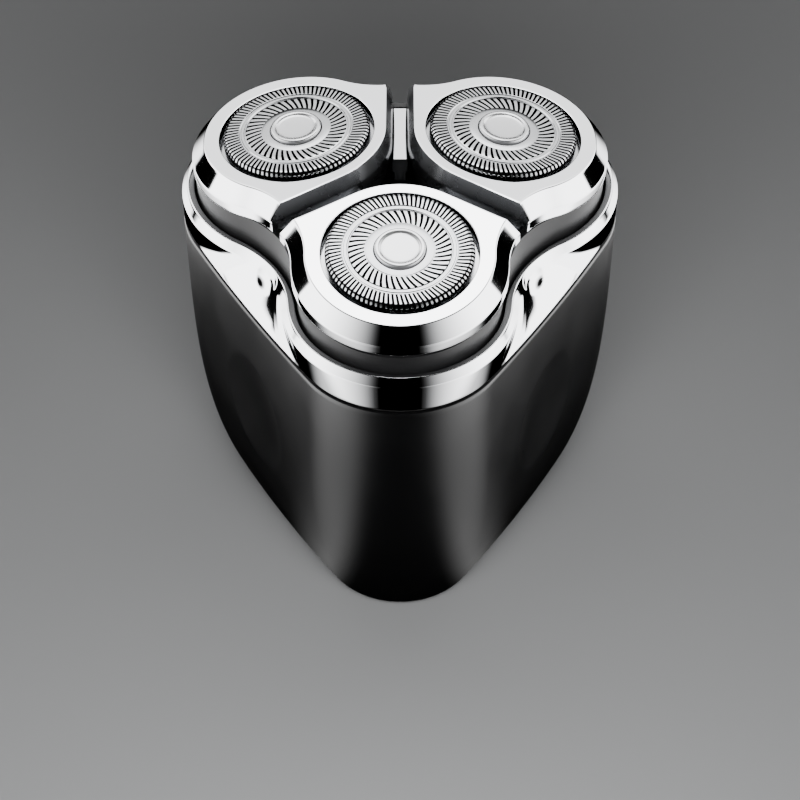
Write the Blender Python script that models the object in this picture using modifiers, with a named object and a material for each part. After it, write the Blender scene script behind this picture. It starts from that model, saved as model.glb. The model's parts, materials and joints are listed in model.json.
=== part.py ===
"""A three-head rotary shaver, in metres, +Z up, standing on its flat base at z = 0.

Three shaving heads sit on a pull-off holder, 120 degrees apart and tilted outwards. Each head is a
petal-shaped plate that rocks on two trunnions, a slotted guard that floats in the plate, and a cutter
that turns under the guard. A motor in the body turns a pinion, three gears and three drive spindles.
"""

import math

import bmesh
import bpy
import numpy as np
from mathutils import Matrix, Vector

# Clearances
TOUCH_GAP = 0.0003
RUN_GAP = 0.0004

# Shaving heads: measured along and across each head's own tilted axis, from the plate's top
HEAD_TILT = math.radians(7.3)
GUARD_RADIUS = 0.01105
GUARD_RISE = 0.0008
GUARD_SKIN = 0.0003
GUARD_WALL = 0.0003
GUARD_CHAMFER = 0.0007
GUARD_FLANGE = 0.0010
GUARD_TRAVEL = 0.0010
CAP_RADIUS = 0.0038
CAP_RISE = 0.0004
PLATE_HOLE_GAP = 0.00065
PLATE_LAND = 0.00175
PLATE_RIM = 0.0023
PLATE_THICKNESS = 0.0012
PETAL_GAP = 0.00405
PETAL_BEVEL_OUT = 0.0021
PETAL_BEVEL_DEPTH = 0.0025
PETAL_GAP_BEVEL = 0.0005
PETAL_SKIRT_DEPTH = 0.0043
PETAL_SKIRT_WALL = 0.0006
CUTTER_DISC = 0.0007
CUTTER_BLADES = 12
BLADE_WIDTH = 0.0005
BLADE_HEIGHT = 0.0017
PIVOT_DEPTH = 0.0060
TRUNNION_RADIUS = 0.0007
RETAINER_WALL = 0.0007

# Holder, gap trims and bezel
TOP_HEIGHT = 0.0640
HOLDER_WALL = 0.0010
HOLDER_VALLEY = 0.0206
HOLDER_RIM_GAP = 0.0007
HOLDER_FLOOR = 0.0012
POST_RADIUS = 0.0032
TRIM_GAP = 0.000425
TRIM_START = 0.0055
TRIM_DEPTH_IN = 0.0022
TRIM_DEPTH_OUT = 0.0040
TRIM_HEIGHT = 0.0026
LIP_WALL = 0.0011
LIP_DEPTH = 0.0095
LIP_VALLEY = 0.0217
CREASE_DEPTH = 0.0110
CREASE_OUT = 0.0008
FOOT_DEPTH = 0.0154
FOOT_SHIFT = 0.0011
FOOT_OUT = -0.0003
BEZEL_WALL = 0.0016
NOTCH_RADIUS = 0.0036
NOTCH_HEIGHT = 0.0024
NOTCH_DEPTH = 0.0011

# Body
GROOVE = 0.0007
GASKET = 0.0003
SHELL_WALL = 0.0016
LEDGE_WIDTH = 0.0014
LEDGE_HEIGHT = 0.0008
FLANK_BULGE = 0.0005
TAPER_SHIFT = 0.0027
TAPER_RADIUS = 0.0054
TAPER_POWER = 3.9
BASE_FILLET = 0.0018
DIMPLE_WIDTH = 0.0160
DIMPLE_HEIGHT = 0.0215
DIMPLE_DEPTH = 0.0013
DIMPLE_Z = 0.0270
BUTTON_RADIUS = 0.0046
BUTTON_THICKNESS = 0.0022
BUTTON_STEM = 0.0014
BUTTON_TRAVEL = 0.0008

# Drive train
PINION_TEETH = 12
GEAR_TEETH = 33
PRESSURE_ANGLE = math.radians(25)
BACKLASH = 0.00016
GEAR_WIDTH = 0.0028
DECK_THICKNESS = 0.0012
CHASSIS_THICKNESS = 0.0015
CHASSIS_HEADROOM = 0.0014
SPINDLE_RADIUS = 0.0020
JOURNAL_RADIUS = 0.0012
TIP_RADIUS = 0.0012
SEAL_WALL = 0.0008
BUSH_WALL = 0.0008
MOTOR_RADIUS = 0.0110
MOTOR_CAP = 0.0022
SHAFT_RADIUS = 0.0010

# Power
CELL_RADIUS = 0.0070
CELL_LENGTH = 0.0400
CRADLE_FLOOR = 0.0010
CRADLE_LENGTH = 0.0340
BOARD_THICKNESS = 0.0010
BOARD_WIDTH = 0.0170
BOARD_Y = 0.0146
SOCKET_SIZE = (0.0089, 0.0033, 0.0073)
SOCKET_MOUTH = (0.0082, 0.0025, 0.0060)
LIGHT_RADIUS = 0.0009
SWITCH_SIZE = 0.0045
SCREW_RADIUS = 0.0009
SCREW_HEAD_RADIUS = 0.0017
SCREW_HEAD = 0.0009
SCREW_LENGTH = 0.0045
RIB_WIDTH = 0.0050
RIB_HEIGHT = 0.0055

# Places that follow from the sizes above
PLATE_HOLE = GUARD_RADIUS + PLATE_HOLE_GAP
HEAD_OFFSET = (PLATE_HOLE + PLATE_LAND + PETAL_GAP / 2) / math.sin(math.radians(60))
PETAL_RADIUS = PLATE_HOLE + PLATE_RIM
SKIRT_RADIUS = PETAL_RADIUS + PETAL_BEVEL_OUT
HOLDER_RADIUS = SKIRT_RADIUS - PETAL_SKIRT_WALL - RUN_GAP
HOLDER_RIM_DEPTH = PETAL_SKIRT_DEPTH + HOLDER_RIM_GAP
TRIM_WIDTH = PETAL_GAP - 2 * (PETAL_GAP_BEVEL + TRIM_GAP)
LIP_RADIUS = HOLDER_RADIUS + RUN_GAP + LIP_WALL
GEAR_CENTRES = HEAD_OFFSET - PIVOT_DEPTH * math.sin(HEAD_TILT)
MODULE = 2 * GEAR_CENTRES / (PINION_TEETH + GEAR_TEETH)
PIVOT_Z = TOP_HEIGHT - PIVOT_DEPTH * math.cos(HEAD_TILT)
FOOT_CENTRE = HEAD_OFFSET + FOOT_SHIFT
FOOT_RADIUS = LIP_RADIUS + FOOT_OUT
FOOT_Z = TOP_HEIGHT - FOOT_DEPTH
BODY_TOP = FOOT_Z - GROOVE
DECK_LOW = BODY_TOP + TOUCH_GAP / 3
DECK_TOP = DECK_LOW + DECK_THICKNESS
LEDGE_TOP = DECK_LOW - TOUCH_GAP
GEAR_TOP = DECK_LOW - 2 * RUN_GAP
GEAR_LOW = GEAR_TOP - GEAR_WIDTH
CHASSIS_TOP = GEAR_LOW - CHASSIS_HEADROOM
CHASSIS_LOW = CHASSIS_TOP - CHASSIS_THICKNESS
SOCKET_Y = BOARD_Y - SOCKET_SIZE[1] / 2 - TOUCH_GAP
CELL_Y = SOCKET_Y - SOCKET_SIZE[1] / 2 - 2 * TOUCH_GAP - CELL_RADIUS
CELL_Z = SHELL_WALL + TOUCH_GAP + CRADLE_FLOOR + TOUCH_GAP + CELL_RADIUS
MOTOR_TOP = CHASSIS_LOW - TOUCH_GAP
MOTOR_LOW = CELL_Z + CELL_RADIUS + 2 * TOUCH_GAP
HOLDER_LOW = DECK_TOP + TOUCH_GAP
SCREW_CIRCLE = HOLDER_VALLEY
MOTOR_SCREW_X = MOTOR_RADIUS - 2.4 * SCREW_HEAD_RADIUS
MOTOR_BOSS = 3 * SHAFT_RADIUS
LIGHT_Z = DIMPLE_Z - DIMPLE_HEIGHT / 2 - 3 * LIGHT_RADIUS
CUTTER_TOP = -GUARD_RISE + GUARD_SKIN + TOUCH_GAP
HEADS = {1: -90, 2: 30, 3: 150}
VALLEYS = {1: -30, 2: 90, 3: 210}

UP = Vector((0, 0, 1))


def collection(name):
    made = bpy.data.collections.new(name)
    bpy.context.scene.collection.children.link(made)
    return made


def finish(name, colour, roughness, metallic):
    made = bpy.data.materials.new(name)
    made.use_nodes = True
    shader = made.node_tree.nodes["Principled BSDF"]
    shader.inputs["Base Color"].default_value = (*colour, 1)
    shader.inputs["Roughness"].default_value = roughness
    shader.inputs["Metallic"].default_value = metallic
    made.diffuse_color = (*colour, 1)
    return made


def mesh_of(bm):
    bmesh.ops.recalc_face_normals(bm, faces=bm.faces)
    mesh = bpy.data.meshes.new("shape")
    bm.to_mesh(mesh)
    bm.free()
    return mesh


def place(obj, parent, matrix):
    obj.parent = parent
    obj.matrix_basis = matrix


def add(name, mesh, material, parent=None, matrix=Matrix()):
    """A named piece of the shaver, shaded smooth with its edges kept sharp."""
    mesh.shade_smooth()
    mesh.set_sharp_from_angle(angle=math.radians(35))
    mesh.materials.append(material)
    obj = bpy.data.objects.new(name, mesh)
    PARTS.objects.link(obj)
    place(obj, parent, matrix)
    return obj


def boolean(obj, mesh, operation, matrix=Matrix()):
    """Cuts or joins a tool mesh, which shares the piece's parent and is left out of renders."""
    count = sum(item.type == "BOOLEAN" for item in obj.modifiers) + 1
    tool = bpy.data.objects.new(f"{obj.name}_tool_{count}", mesh)
    CUTTERS.objects.link(tool)
    tool.hide_render = True
    tool.display_type = "WIRE"
    place(tool, obj.parent, matrix)
    modifier = obj.modifiers.new(f"{operation.lower()}_{count}", "BOOLEAN")
    modifier.operation = operation
    modifier.solver = "EXACT"
    modifier.object = tool


def turned(name, profile, material, parent=None, matrix=Matrix(), steps=32):
    """A turned piece: the profile holds (radius, height) pairs and runs down the outer side.

    It starts and ends on the axis for a solid piece, and closes on itself for a ring.
    """
    bm = bmesh.new()
    points = [bm.verts.new((radius, 0, height)) for radius, height in profile]
    for first, second in zip(points, points[1:]):
        bm.edges.new((first, second))
    if profile[0][0] > 0:
        bm.edges.new((points[-1], points[0]))
    mesh = bpy.data.meshes.new("profile")
    bm.to_mesh(mesh)
    bm.free()
    obj = add(name, mesh, material, parent, matrix)
    screw = obj.modifiers.new("turn", "SCREW")
    screw.steps = steps
    screw.render_steps = steps
    screw.use_merge_vertices = True
    screw.merge_threshold = 0.00001
    screw.use_smooth_shade = True
    return obj


def cylinder(radius, low, high, matrix=Matrix(), steps=32, bm=None):
    """A cylinder along the matrix's z axis, as its own mesh, or added to bm."""
    own = bmesh.new() if bm is None else bm
    middle = Matrix.Translation((0, 0, (low + high) / 2))
    bmesh.ops.create_cone(
        own,
        cap_ends=True,
        segments=steps,
        radius1=radius,
        radius2=radius,
        depth=high - low,
        matrix=matrix @ middle,
    )
    return mesh_of(own) if bm is None else None


def box(low, high, matrix=Matrix(), bm=None):
    """A box between two corners, turned by the matrix, as its own mesh, or added to bm."""
    own = bmesh.new() if bm is None else bm
    low, high = Vector(low), Vector(high)
    size = Matrix.Diagonal((*(high - low), 1))
    bmesh.ops.create_cube(own, size=1, matrix=matrix @ Matrix.Translation((low + high) / 2) @ size)
    return mesh_of(own) if bm is None else None


def lofted(rings, looped=False):
    """Joins each ring of points to the next; the end rings are capped, or joined when looped."""
    bm = bmesh.new()
    rows = [[bm.verts.new(point) for point in ring] for ring in rings]
    pairs = list(zip(rows, rows[1:]))
    if looped:
        pairs.append((rows[-1], rows[0]))
    else:
        bm.faces.new(rows[0])
        bm.faces.new(rows[-1])
    for upper, lower in pairs:
        for corners in zip(upper, upper[1:] + upper[:1], lower[1:] + lower[:1], lower):
            bm.faces.new(corners)
    return mesh_of(bm)


def arc(centre, radius, start, end, steps):
    """Points along an arc, angles in radians, without the last one."""
    angles = np.linspace(start, end, steps, endpoint=False)
    return np.array(centre) + radius * np.stack([np.cos(angles), np.sin(angles)], 1)


def mirrored_loop(half, line):
    """Closes half an outline by mirroring it about a line through the origin at this angle."""
    turn = np.array([[math.cos(2 * line), math.sin(2 * line)], [math.sin(2 * line), -math.cos(2 * line)]])
    return np.concatenate([half, (half[1:-1] @ turn)[::-1]])


def lobed(centre, radius, flank, lobe_steps=5, flank_steps=5):
    """Three round lobes about points at this distance from the axis, anticlockwise.

    Between two lobes, an arc tangent to both passes at the distance flank from the axis. It is
    hollow in a deep valley and bulges where the flank lies outside the lobes' common tangent.
    """
    reach = flank - centre / 2
    spread = 0.75 * centre**2
    side = (radius**2 - reach**2 - spread) / (2 * (radius - reach))
    middle = math.radians(60)
    bow = (flank - side) * np.array([math.cos(middle), math.sin(middle)])
    touch = math.copysign(1, side) * (np.array([centre, 0]) - bow)
    tangent = math.atan2(touch[1], touch[0])
    start, end = (tangent, middle) if side > 0 else (tangent - math.pi, middle - math.pi)
    lobe = arc((centre, 0), radius, 0, tangent, lobe_steps)
    bank = arc(bow, abs(side), start, end, flank_steps)
    top = flank * np.array([[math.cos(middle), math.sin(middle)]])
    half = np.concatenate([lobe, bank, top])
    third = mirrored_loop(half, middle)
    loops = [third @ plane_turn(angle).T for angle in HEADS.values()]
    return np.concatenate(loops)


def plane_turn(degrees):
    angle = math.radians(degrees)
    return np.array([[math.cos(angle), -math.sin(angle)], [math.sin(angle), math.cos(angle)]])


def ring(outline, height):
    return np.column_stack([outline, np.broadcast_to(height, len(outline))])


def around(degrees, distance=0.0, height=0.0):
    """Turns about the axis and moves out along the turned X axis, then up."""
    return Matrix.Rotation(math.radians(degrees), 4, "Z") @ Matrix.Translation((distance, 0, height))


def petal_outline(radius, half_gap):
    """A plate's outline about its head's axis, +Y outwards.

    An outer arc runs into two hollow flares, which end in sharp corners on edges parallel to the
    gaps between plates. An arc about the head's axis joins the two edges near the shaver's centre.
    """
    inner = HEAD_OFFSET * math.sin(math.radians(60)) - half_gap
    flare = np.array([2 * PETAL_RADIUS, 0])
    flare_radius = 2 * PETAL_RADIUS - radius
    touch = inner * np.array([0.5, -math.sin(math.radians(60))])
    edge = np.array([math.sin(math.radians(60)), 0.5])
    across = touch - flare
    along = -across @ edge
    corner = touch + (along - math.sqrt(along**2 - across @ across + flare_radius**2)) * edge
    corner_angle = math.atan2(*(corner - flare)[::-1]) % (2 * math.pi)
    half = np.concatenate(
        [
            arc((0, 0), inner, -math.pi / 2, -math.pi / 3, 5),
            [touch],
            arc(flare, flare_radius, corner_angle, math.pi, 6),
            arc((0, 0), radius, 0, math.pi / 2, 10),
            [(0, radius)],
        ]
    )
    return mirrored_loop(half, math.pi / 2)


def level(depth):
    """A height in a head's frame, whose origin is the pivot, for a depth below the plate's top."""
    return PIVOT_DEPTH - depth


def head_frame(degrees):
    """The frame of a head: origin on its pivot, +Z along its tilted axis, +Y outwards."""
    angle = math.radians(degrees)
    out = Vector((math.cos(angle), math.sin(angle), 0))
    axis = math.sin(HEAD_TILT) * out + math.cos(HEAD_TILT) * UP
    outward = math.cos(HEAD_TILT) * out - math.sin(HEAD_TILT) * UP
    turn = Matrix((outward.cross(axis), outward, axis)).transposed().to_4x4()
    return Matrix.Translation(GEAR_CENTRES * out + PIVOT_Z * UP) @ turn


def gear_outline(teeth, phase):
    """Involute teeth, anticlockwise, with one tooth centred on the angle phase."""
    pitch = MODULE * teeth / 2
    base = pitch * math.cos(PRESSURE_ANGLE)
    root = pitch - 1.25 * MODULE
    radii = np.concatenate([[root], np.linspace(max(root * 1.01, base), pitch + MODULE, 2)])
    roll = np.arccos(np.minimum(base / radii, 1))
    spread = math.tan(PRESSURE_ANGLE) - PRESSURE_ANGLE - (np.tan(roll) - roll)
    half = math.pi / (2 * teeth) - BACKLASH / (4 * pitch) + spread
    centres = phase + 2 * math.pi * np.arange(teeth)[:, None] / teeth
    angles = np.concatenate([centres - half, centres + half[::-1]], 1).ravel()
    both = np.tile(np.concatenate([radii, radii[::-1]]), teeth)
    return both[:, None] * np.stack([np.cos(angles), np.sin(angles)], 1)


def hexagon(radius, steps=18):
    """A hexagon with this inner radius, as points at equal angles."""
    angles = 2 * math.pi * np.arange(steps) / steps
    sixth = math.pi / 3
    reach = radius / np.cos((angles % sixth) - sixth / 2)
    return reach[:, None] * np.stack([np.cos(angles), np.sin(angles)], 1)


def disc(radius, steps=18):
    return arc((0, 0), radius, 0, 2 * math.pi, steps)


def body_outline(height, inset):
    """The body's outline at a height: lobes that draw in towards the base, and dimpled flanks."""
    share = (BODY_TOP - height) / BODY_TOP
    centre = FOOT_CENTRE - TAPER_SHIFT * share
    radius = FOOT_RADIUS - TAPER_RADIUS * share**TAPER_POWER
    outline = lobed(centre, radius - inset, centre / 2 + radius + FLANK_BULGE - inset)
    for degrees in VALLEYS.values():
        normal, across = plane_turn(degrees).T
        reach = (2 * outline @ across / DIMPLE_WIDTH) ** 2 + (2 * (height - DIMPLE_Z) / DIMPLE_HEIGHT) ** 2
        facing = outline @ normal > 0
        depth = DIMPLE_DEPTH * np.clip(1 - reach, 0, 1) ** 1.5 * facing
        outline = outline - depth[:, None] * normal
    return outline


def flank_distance(height, inset=0.0):
    """How far the middle of the rear flank is from the axis at this height."""
    return float(body_outline(height, inset)[:, 1].max())


def holder_outline(inset):
    return lobed(HEAD_OFFSET, HOLDER_RADIUS - inset, HOLDER_VALLEY - inset, 6, 6)


def rim_height(outline, depth):
    """The height at this depth below the nearest head plate's plane, at each point."""
    outwards = np.max([outline @ plane_turn(degrees)[:, 0] for degrees in HEADS.values()], axis=0)
    return TOP_HEIGHT - (outwards - HEAD_OFFSET) * math.tan(HEAD_TILT) - depth / math.cos(HEAD_TILT)


def body_shell():
    fillet = [math.radians(angle) for angle in (0, 30, 60, 90)]
    straight = np.linspace(BODY_TOP, BASE_FILLET, 10)[:-1]
    outer = [ring(body_outline(z, 0), z) for z in straight]
    outer += [
        ring(
            body_outline(BASE_FILLET * (1 - math.sin(angle)), BASE_FILLET * (1 - math.cos(angle))),
            BASE_FILLET * (1 - math.sin(angle)),
        )
        for angle in fillet
    ]
    ledge = SHELL_WALL + LEDGE_WIDTH
    steps = [
        (BODY_TOP, SHELL_WALL),
        (LEDGE_TOP, SHELL_WALL),
        (LEDGE_TOP, ledge),
        (LEDGE_TOP - LEDGE_HEIGHT, ledge),
        (LEDGE_TOP - LEDGE_HEIGHT - LEDGE_WIDTH, SHELL_WALL),
    ]
    below = np.linspace(steps[-1][0], SHELL_WALL, 6)[1:]
    inner = [ring(body_outline(z, inset), z) for z, inset in steps]
    inner += [ring(body_outline(z, SHELL_WALL), z) for z in below]
    obj = add("body_shell", lofted(inner[::-1] + outer), SATIN_BLACK)

    ribs = bmesh.new()
    holes = bmesh.new()
    rib_top = CHASSIS_LOW - TOUCH_GAP
    for degrees in VALLEYS.values():
        low = (SCREW_CIRCLE - RIB_WIDTH / 2, -RIB_WIDTH / 2, rib_top - RIB_HEIGHT)
        high = (flank_distance(rib_top) - SHELL_WALL / 2, RIB_WIDTH / 2, rib_top)
        box(low, high, around(degrees), ribs)
        pilot = SCREW_RADIUS + TOUCH_GAP
        cylinder(pilot, rib_top - SCREW_LENGTH, rib_top + 0.001, around(degrees, SCREW_CIRCLE), 16, holes)
    boolean(obj, mesh_of(ribs), "UNION")

    rear = Matrix.Rotation(math.radians(-90), 4, "X")
    reach = flank_distance(DIMPLE_Z)
    bore = Matrix.Translation((0, 0, DIMPLE_Z)) @ rear
    cylinder(BUTTON_RADIUS + TOUCH_GAP, reach - 0.004, reach + 0.004, bore, 32, holes)
    light = Matrix.Translation((0, 0, LIGHT_Z)) @ rear
    reach = flank_distance(LIGHT_Z)
    cylinder(LIGHT_RADIUS + TOUCH_GAP, reach - 0.004, reach + 0.004, light, 16, holes)
    width, thickness, _ = SOCKET_SIZE
    half = (width / 2 + TOUCH_GAP, thickness / 2 + TOUCH_GAP)
    box((-half[0], SOCKET_Y - half[1], -0.001), (half[0], SOCKET_Y + half[1], SHELL_WALL + 0.001), bm=holes)
    boolean(obj, mesh_of(holes), "DIFFERENCE")
    return obj


def bezel_ring():
    """The bright ring: a lip round the holder, a crease, and a foot as wide as the body."""
    foot_flank = FOOT_CENTRE / 2 + FOOT_RADIUS + FLANK_BULGE
    share = (CREASE_DEPTH - LIP_DEPTH) / (FOOT_DEPTH - LIP_DEPTH)
    crease_flank = LIP_VALLEY + share * (foot_flank - LIP_VALLEY)
    inner_radius = LIP_RADIUS - LIP_WALL
    inner_valley = HOLDER_VALLEY + RUN_GAP
    steps = (6, 6)
    foot = lobed(FOOT_CENTRE, FOOT_RADIUS, foot_flank, *steps)
    foot_inner = lobed(FOOT_CENTRE, FOOT_RADIUS - BEZEL_WALL, foot_flank - BEZEL_WALL, *steps)
    crease = lobed(HEAD_OFFSET, LIP_RADIUS + CREASE_OUT, crease_flank, *steps)
    lip = lobed(HEAD_OFFSET, LIP_RADIUS, LIP_VALLEY, *steps)
    mouth = lobed(HEAD_OFFSET, inner_radius, inner_valley, *steps)
    rings = [
        ring(foot, FOOT_Z),
        ring(crease, TOP_HEIGHT - CREASE_DEPTH),
        ring(lip, TOP_HEIGHT - LIP_DEPTH),
        ring(mouth, TOP_HEIGHT - LIP_DEPTH),
        ring(mouth, HOLDER_LOW),
        ring(foot_inner, HOLDER_LOW),
        ring(foot_inner, FOOT_Z),
    ]
    obj = add("bezel_ring", lofted(rings, looped=True), CHROME)
    slope = math.atan2(foot_flank - LIP_VALLEY, FOOT_DEPTH - LIP_DEPTH)
    notch_depth = (LIP_DEPTH + FOOT_DEPTH) / 2 - NOTCH_DEPTH
    for degrees in VALLEYS.values():
        bm = bmesh.new()
        spot = around(degrees, (LIP_VALLEY + foot_flank) / 2, TOP_HEIGHT - notch_depth)
        shape = Matrix.Diagonal((NOTCH_DEPTH + NOTCH_HEIGHT / 2, NOTCH_RADIUS, NOTCH_HEIGHT, 1))
        turn = Matrix.Rotation(-slope, 4, "Y")
        bmesh.ops.create_uvsphere(bm, u_segments=12, v_segments=8, radius=1, matrix=spot @ turn @ shape)
        boolean(obj, mesh_of(bm), "DIFFERENCE")
    return obj


def body_gasket():
    low = BODY_TOP + (GROOVE - GASKET) / 2
    outlines = [body_outline(BODY_TOP, inset) for inset in (SHELL_WALL / 4, SHELL_WALL * 0.8)]
    outer, inner = outlines
    rings = [ring(outer, low + GASKET), ring(outer, low), ring(inner, low), ring(inner, low + GASKET)]
    return add("body_gasket", lofted(rings, looped=True), RUBBER)


def deck():
    """The deck that closes the body under the holder, with a hole for each spindle's seal."""
    outline = body_outline(BODY_TOP, SHELL_WALL + TOUCH_GAP)
    top = body_outline(BODY_TOP, SHELL_WALL + 4 * TOUCH_GAP)
    middle = (DECK_LOW + DECK_TOP) / 2
    rings = [ring(outline, DECK_LOW), ring(outline, middle), ring(top, DECK_TOP)]
    obj = add("upper_deck", lofted(rings), DARK_PLASTIC)
    holes = bmesh.new()
    for degrees in HEADS.values():
        radius = SPINDLE_RADIUS + RUN_GAP + SEAL_WALL + TOUCH_GAP
        cylinder(radius, DECK_LOW - 0.001, DECK_TOP + 0.001, around(degrees, GEAR_CENTRES), 24, holes)
    boolean(obj, mesh_of(holes), "DIFFERENCE")
    return obj


def chassis():
    """The plate under the gears, which carries the motor and the spindles' bushes."""
    inset = SHELL_WALL + LEDGE_WIDTH + RUN_GAP
    outline = body_outline(CHASSIS_TOP, inset)
    rings = [ring(outline, CHASSIS_TOP), ring(outline, CHASSIS_LOW)]
    obj = add("chassis_plate", lofted(rings), GREY_PLASTIC)
    holes = bmesh.new()
    span = (CHASSIS_LOW - 0.001, CHASSIS_TOP + 0.001)
    cylinder(MOTOR_BOSS + TOUCH_GAP, *span, bm=holes)
    for degrees in HEADS.values():
        radius = JOURNAL_RADIUS + RUN_GAP + BUSH_WALL + TOUCH_GAP
        cylinder(radius, *span, around(degrees, GEAR_CENTRES), 24, holes)
    for degrees in VALLEYS.values():
        cylinder(SCREW_RADIUS + TOUCH_GAP, *span, around(degrees, SCREW_CIRCLE), 16, holes)
    for side in (-1, 1):
        spot = Matrix.Translation((side * MOTOR_SCREW_X, 0, 0))
        cylinder(SCREW_RADIUS + TOUCH_GAP, *span, spot, 16, holes)
    boolean(obj, mesh_of(holes), "DIFFERENCE")
    return obj


def screw(name, matrix):
    """A pan-head screw: its head rests at the matrix's origin and its shank points down."""
    profile = [
        (0, SCREW_HEAD),
        (SCREW_HEAD_RADIUS * 0.7, SCREW_HEAD),
        (SCREW_HEAD_RADIUS, SCREW_HEAD * 0.4),
        (SCREW_HEAD_RADIUS, TOUCH_GAP),
        (SCREW_RADIUS, TOUCH_GAP),
        (SCREW_RADIUS, SCREW_RADIUS - SCREW_LENGTH),
        (0, -SCREW_LENGTH + TOUCH_GAP),
    ]
    obj = turned(name, profile, STEEL, matrix=matrix, steps=12)
    small, large = SCREW_HEAD_RADIUS * 0.13, SCREW_HEAD_RADIUS * 0.42
    quarter = np.array([(large, -small), (large, small), (small, small)])
    outline = np.concatenate([quarter @ plane_turn(angle).T for angle in (0, 90, 180, 270)])
    drive = lofted([ring(outline, SCREW_HEAD + 0.001), ring(outline, SCREW_HEAD / 2)])
    boolean(obj, drive, "DIFFERENCE", matrix)
    return obj


def screws():
    for number, degrees in VALLEYS.items():
        screw(f"chassis_screw_{number}", around(degrees, SCREW_CIRCLE, CHASSIS_TOP))
    for number, side in enumerate((-1, 1), 1):
        screw(f"motor_screw_{number}", Matrix.Translation((side * MOTOR_SCREW_X, 0, CHASSIS_TOP)))


def motor():
    edge = MOTOR_RADIUS * 0.06
    can_low = MOTOR_LOW + MOTOR_CAP + TOUCH_GAP
    boss_top = CHASSIS_TOP - TOUCH_GAP
    profile = [
        (0, MOTOR_TOP - SCREW_LENGTH),
        (SHAFT_RADIUS + RUN_GAP, MOTOR_TOP - SCREW_LENGTH),
        (SHAFT_RADIUS + RUN_GAP, boss_top),
        (MOTOR_BOSS, boss_top),
        (MOTOR_BOSS, MOTOR_TOP),
        (MOTOR_RADIUS - edge, MOTOR_TOP),
        (MOTOR_RADIUS, MOTOR_TOP - edge),
        (MOTOR_RADIUS, can_low),
        (0, can_low),
    ]
    can = turned("motor_can", profile, STEEL, steps=24)
    holes = bmesh.new()
    for side in (-1, 1):
        spot = Matrix.Translation((side * MOTOR_SCREW_X, 0, 0))
        cylinder(SCREW_RADIUS + TOUCH_GAP, MOTOR_TOP - SCREW_LENGTH, MOTOR_TOP + 0.001, spot, 16, holes)
    boolean(can, mesh_of(holes), "DIFFERENCE")
    cap = [
        (0, MOTOR_LOW + MOTOR_CAP),
        (MOTOR_RADIUS, MOTOR_LOW + MOTOR_CAP),
        (MOTOR_RADIUS, MOTOR_LOW + edge),
        (MOTOR_RADIUS - edge, MOTOR_LOW),
        (0, MOTOR_LOW),
    ]
    turned("motor_end_cap", cap, GREY_PLASTIC, steps=24)


def rotor():
    """The motor's shaft and the pinion on it, which turn together."""
    low = MOTOR_TOP - SCREW_LENGTH + TOUCH_GAP
    shaft = [(0, GEAR_TOP), (SHAFT_RADIUS, GEAR_TOP), (SHAFT_RADIUS, low), (0, low)]
    turned("motor_shaft", shaft, STEEL, steps=20)
    phase = math.radians(HEADS[1])
    outline = gear_outline(PINION_TEETH, phase)
    pinion = add("drive_pinion", lofted([ring(outline, GEAR_TOP), ring(outline, GEAR_LOW)]), BRASS)
    bore = cylinder(SHAFT_RADIUS + TOUCH_GAP / 3, GEAR_LOW - 0.001, GEAR_TOP + 0.001, steps=20)
    boolean(pinion, bore, "DIFFERENCE")


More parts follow.
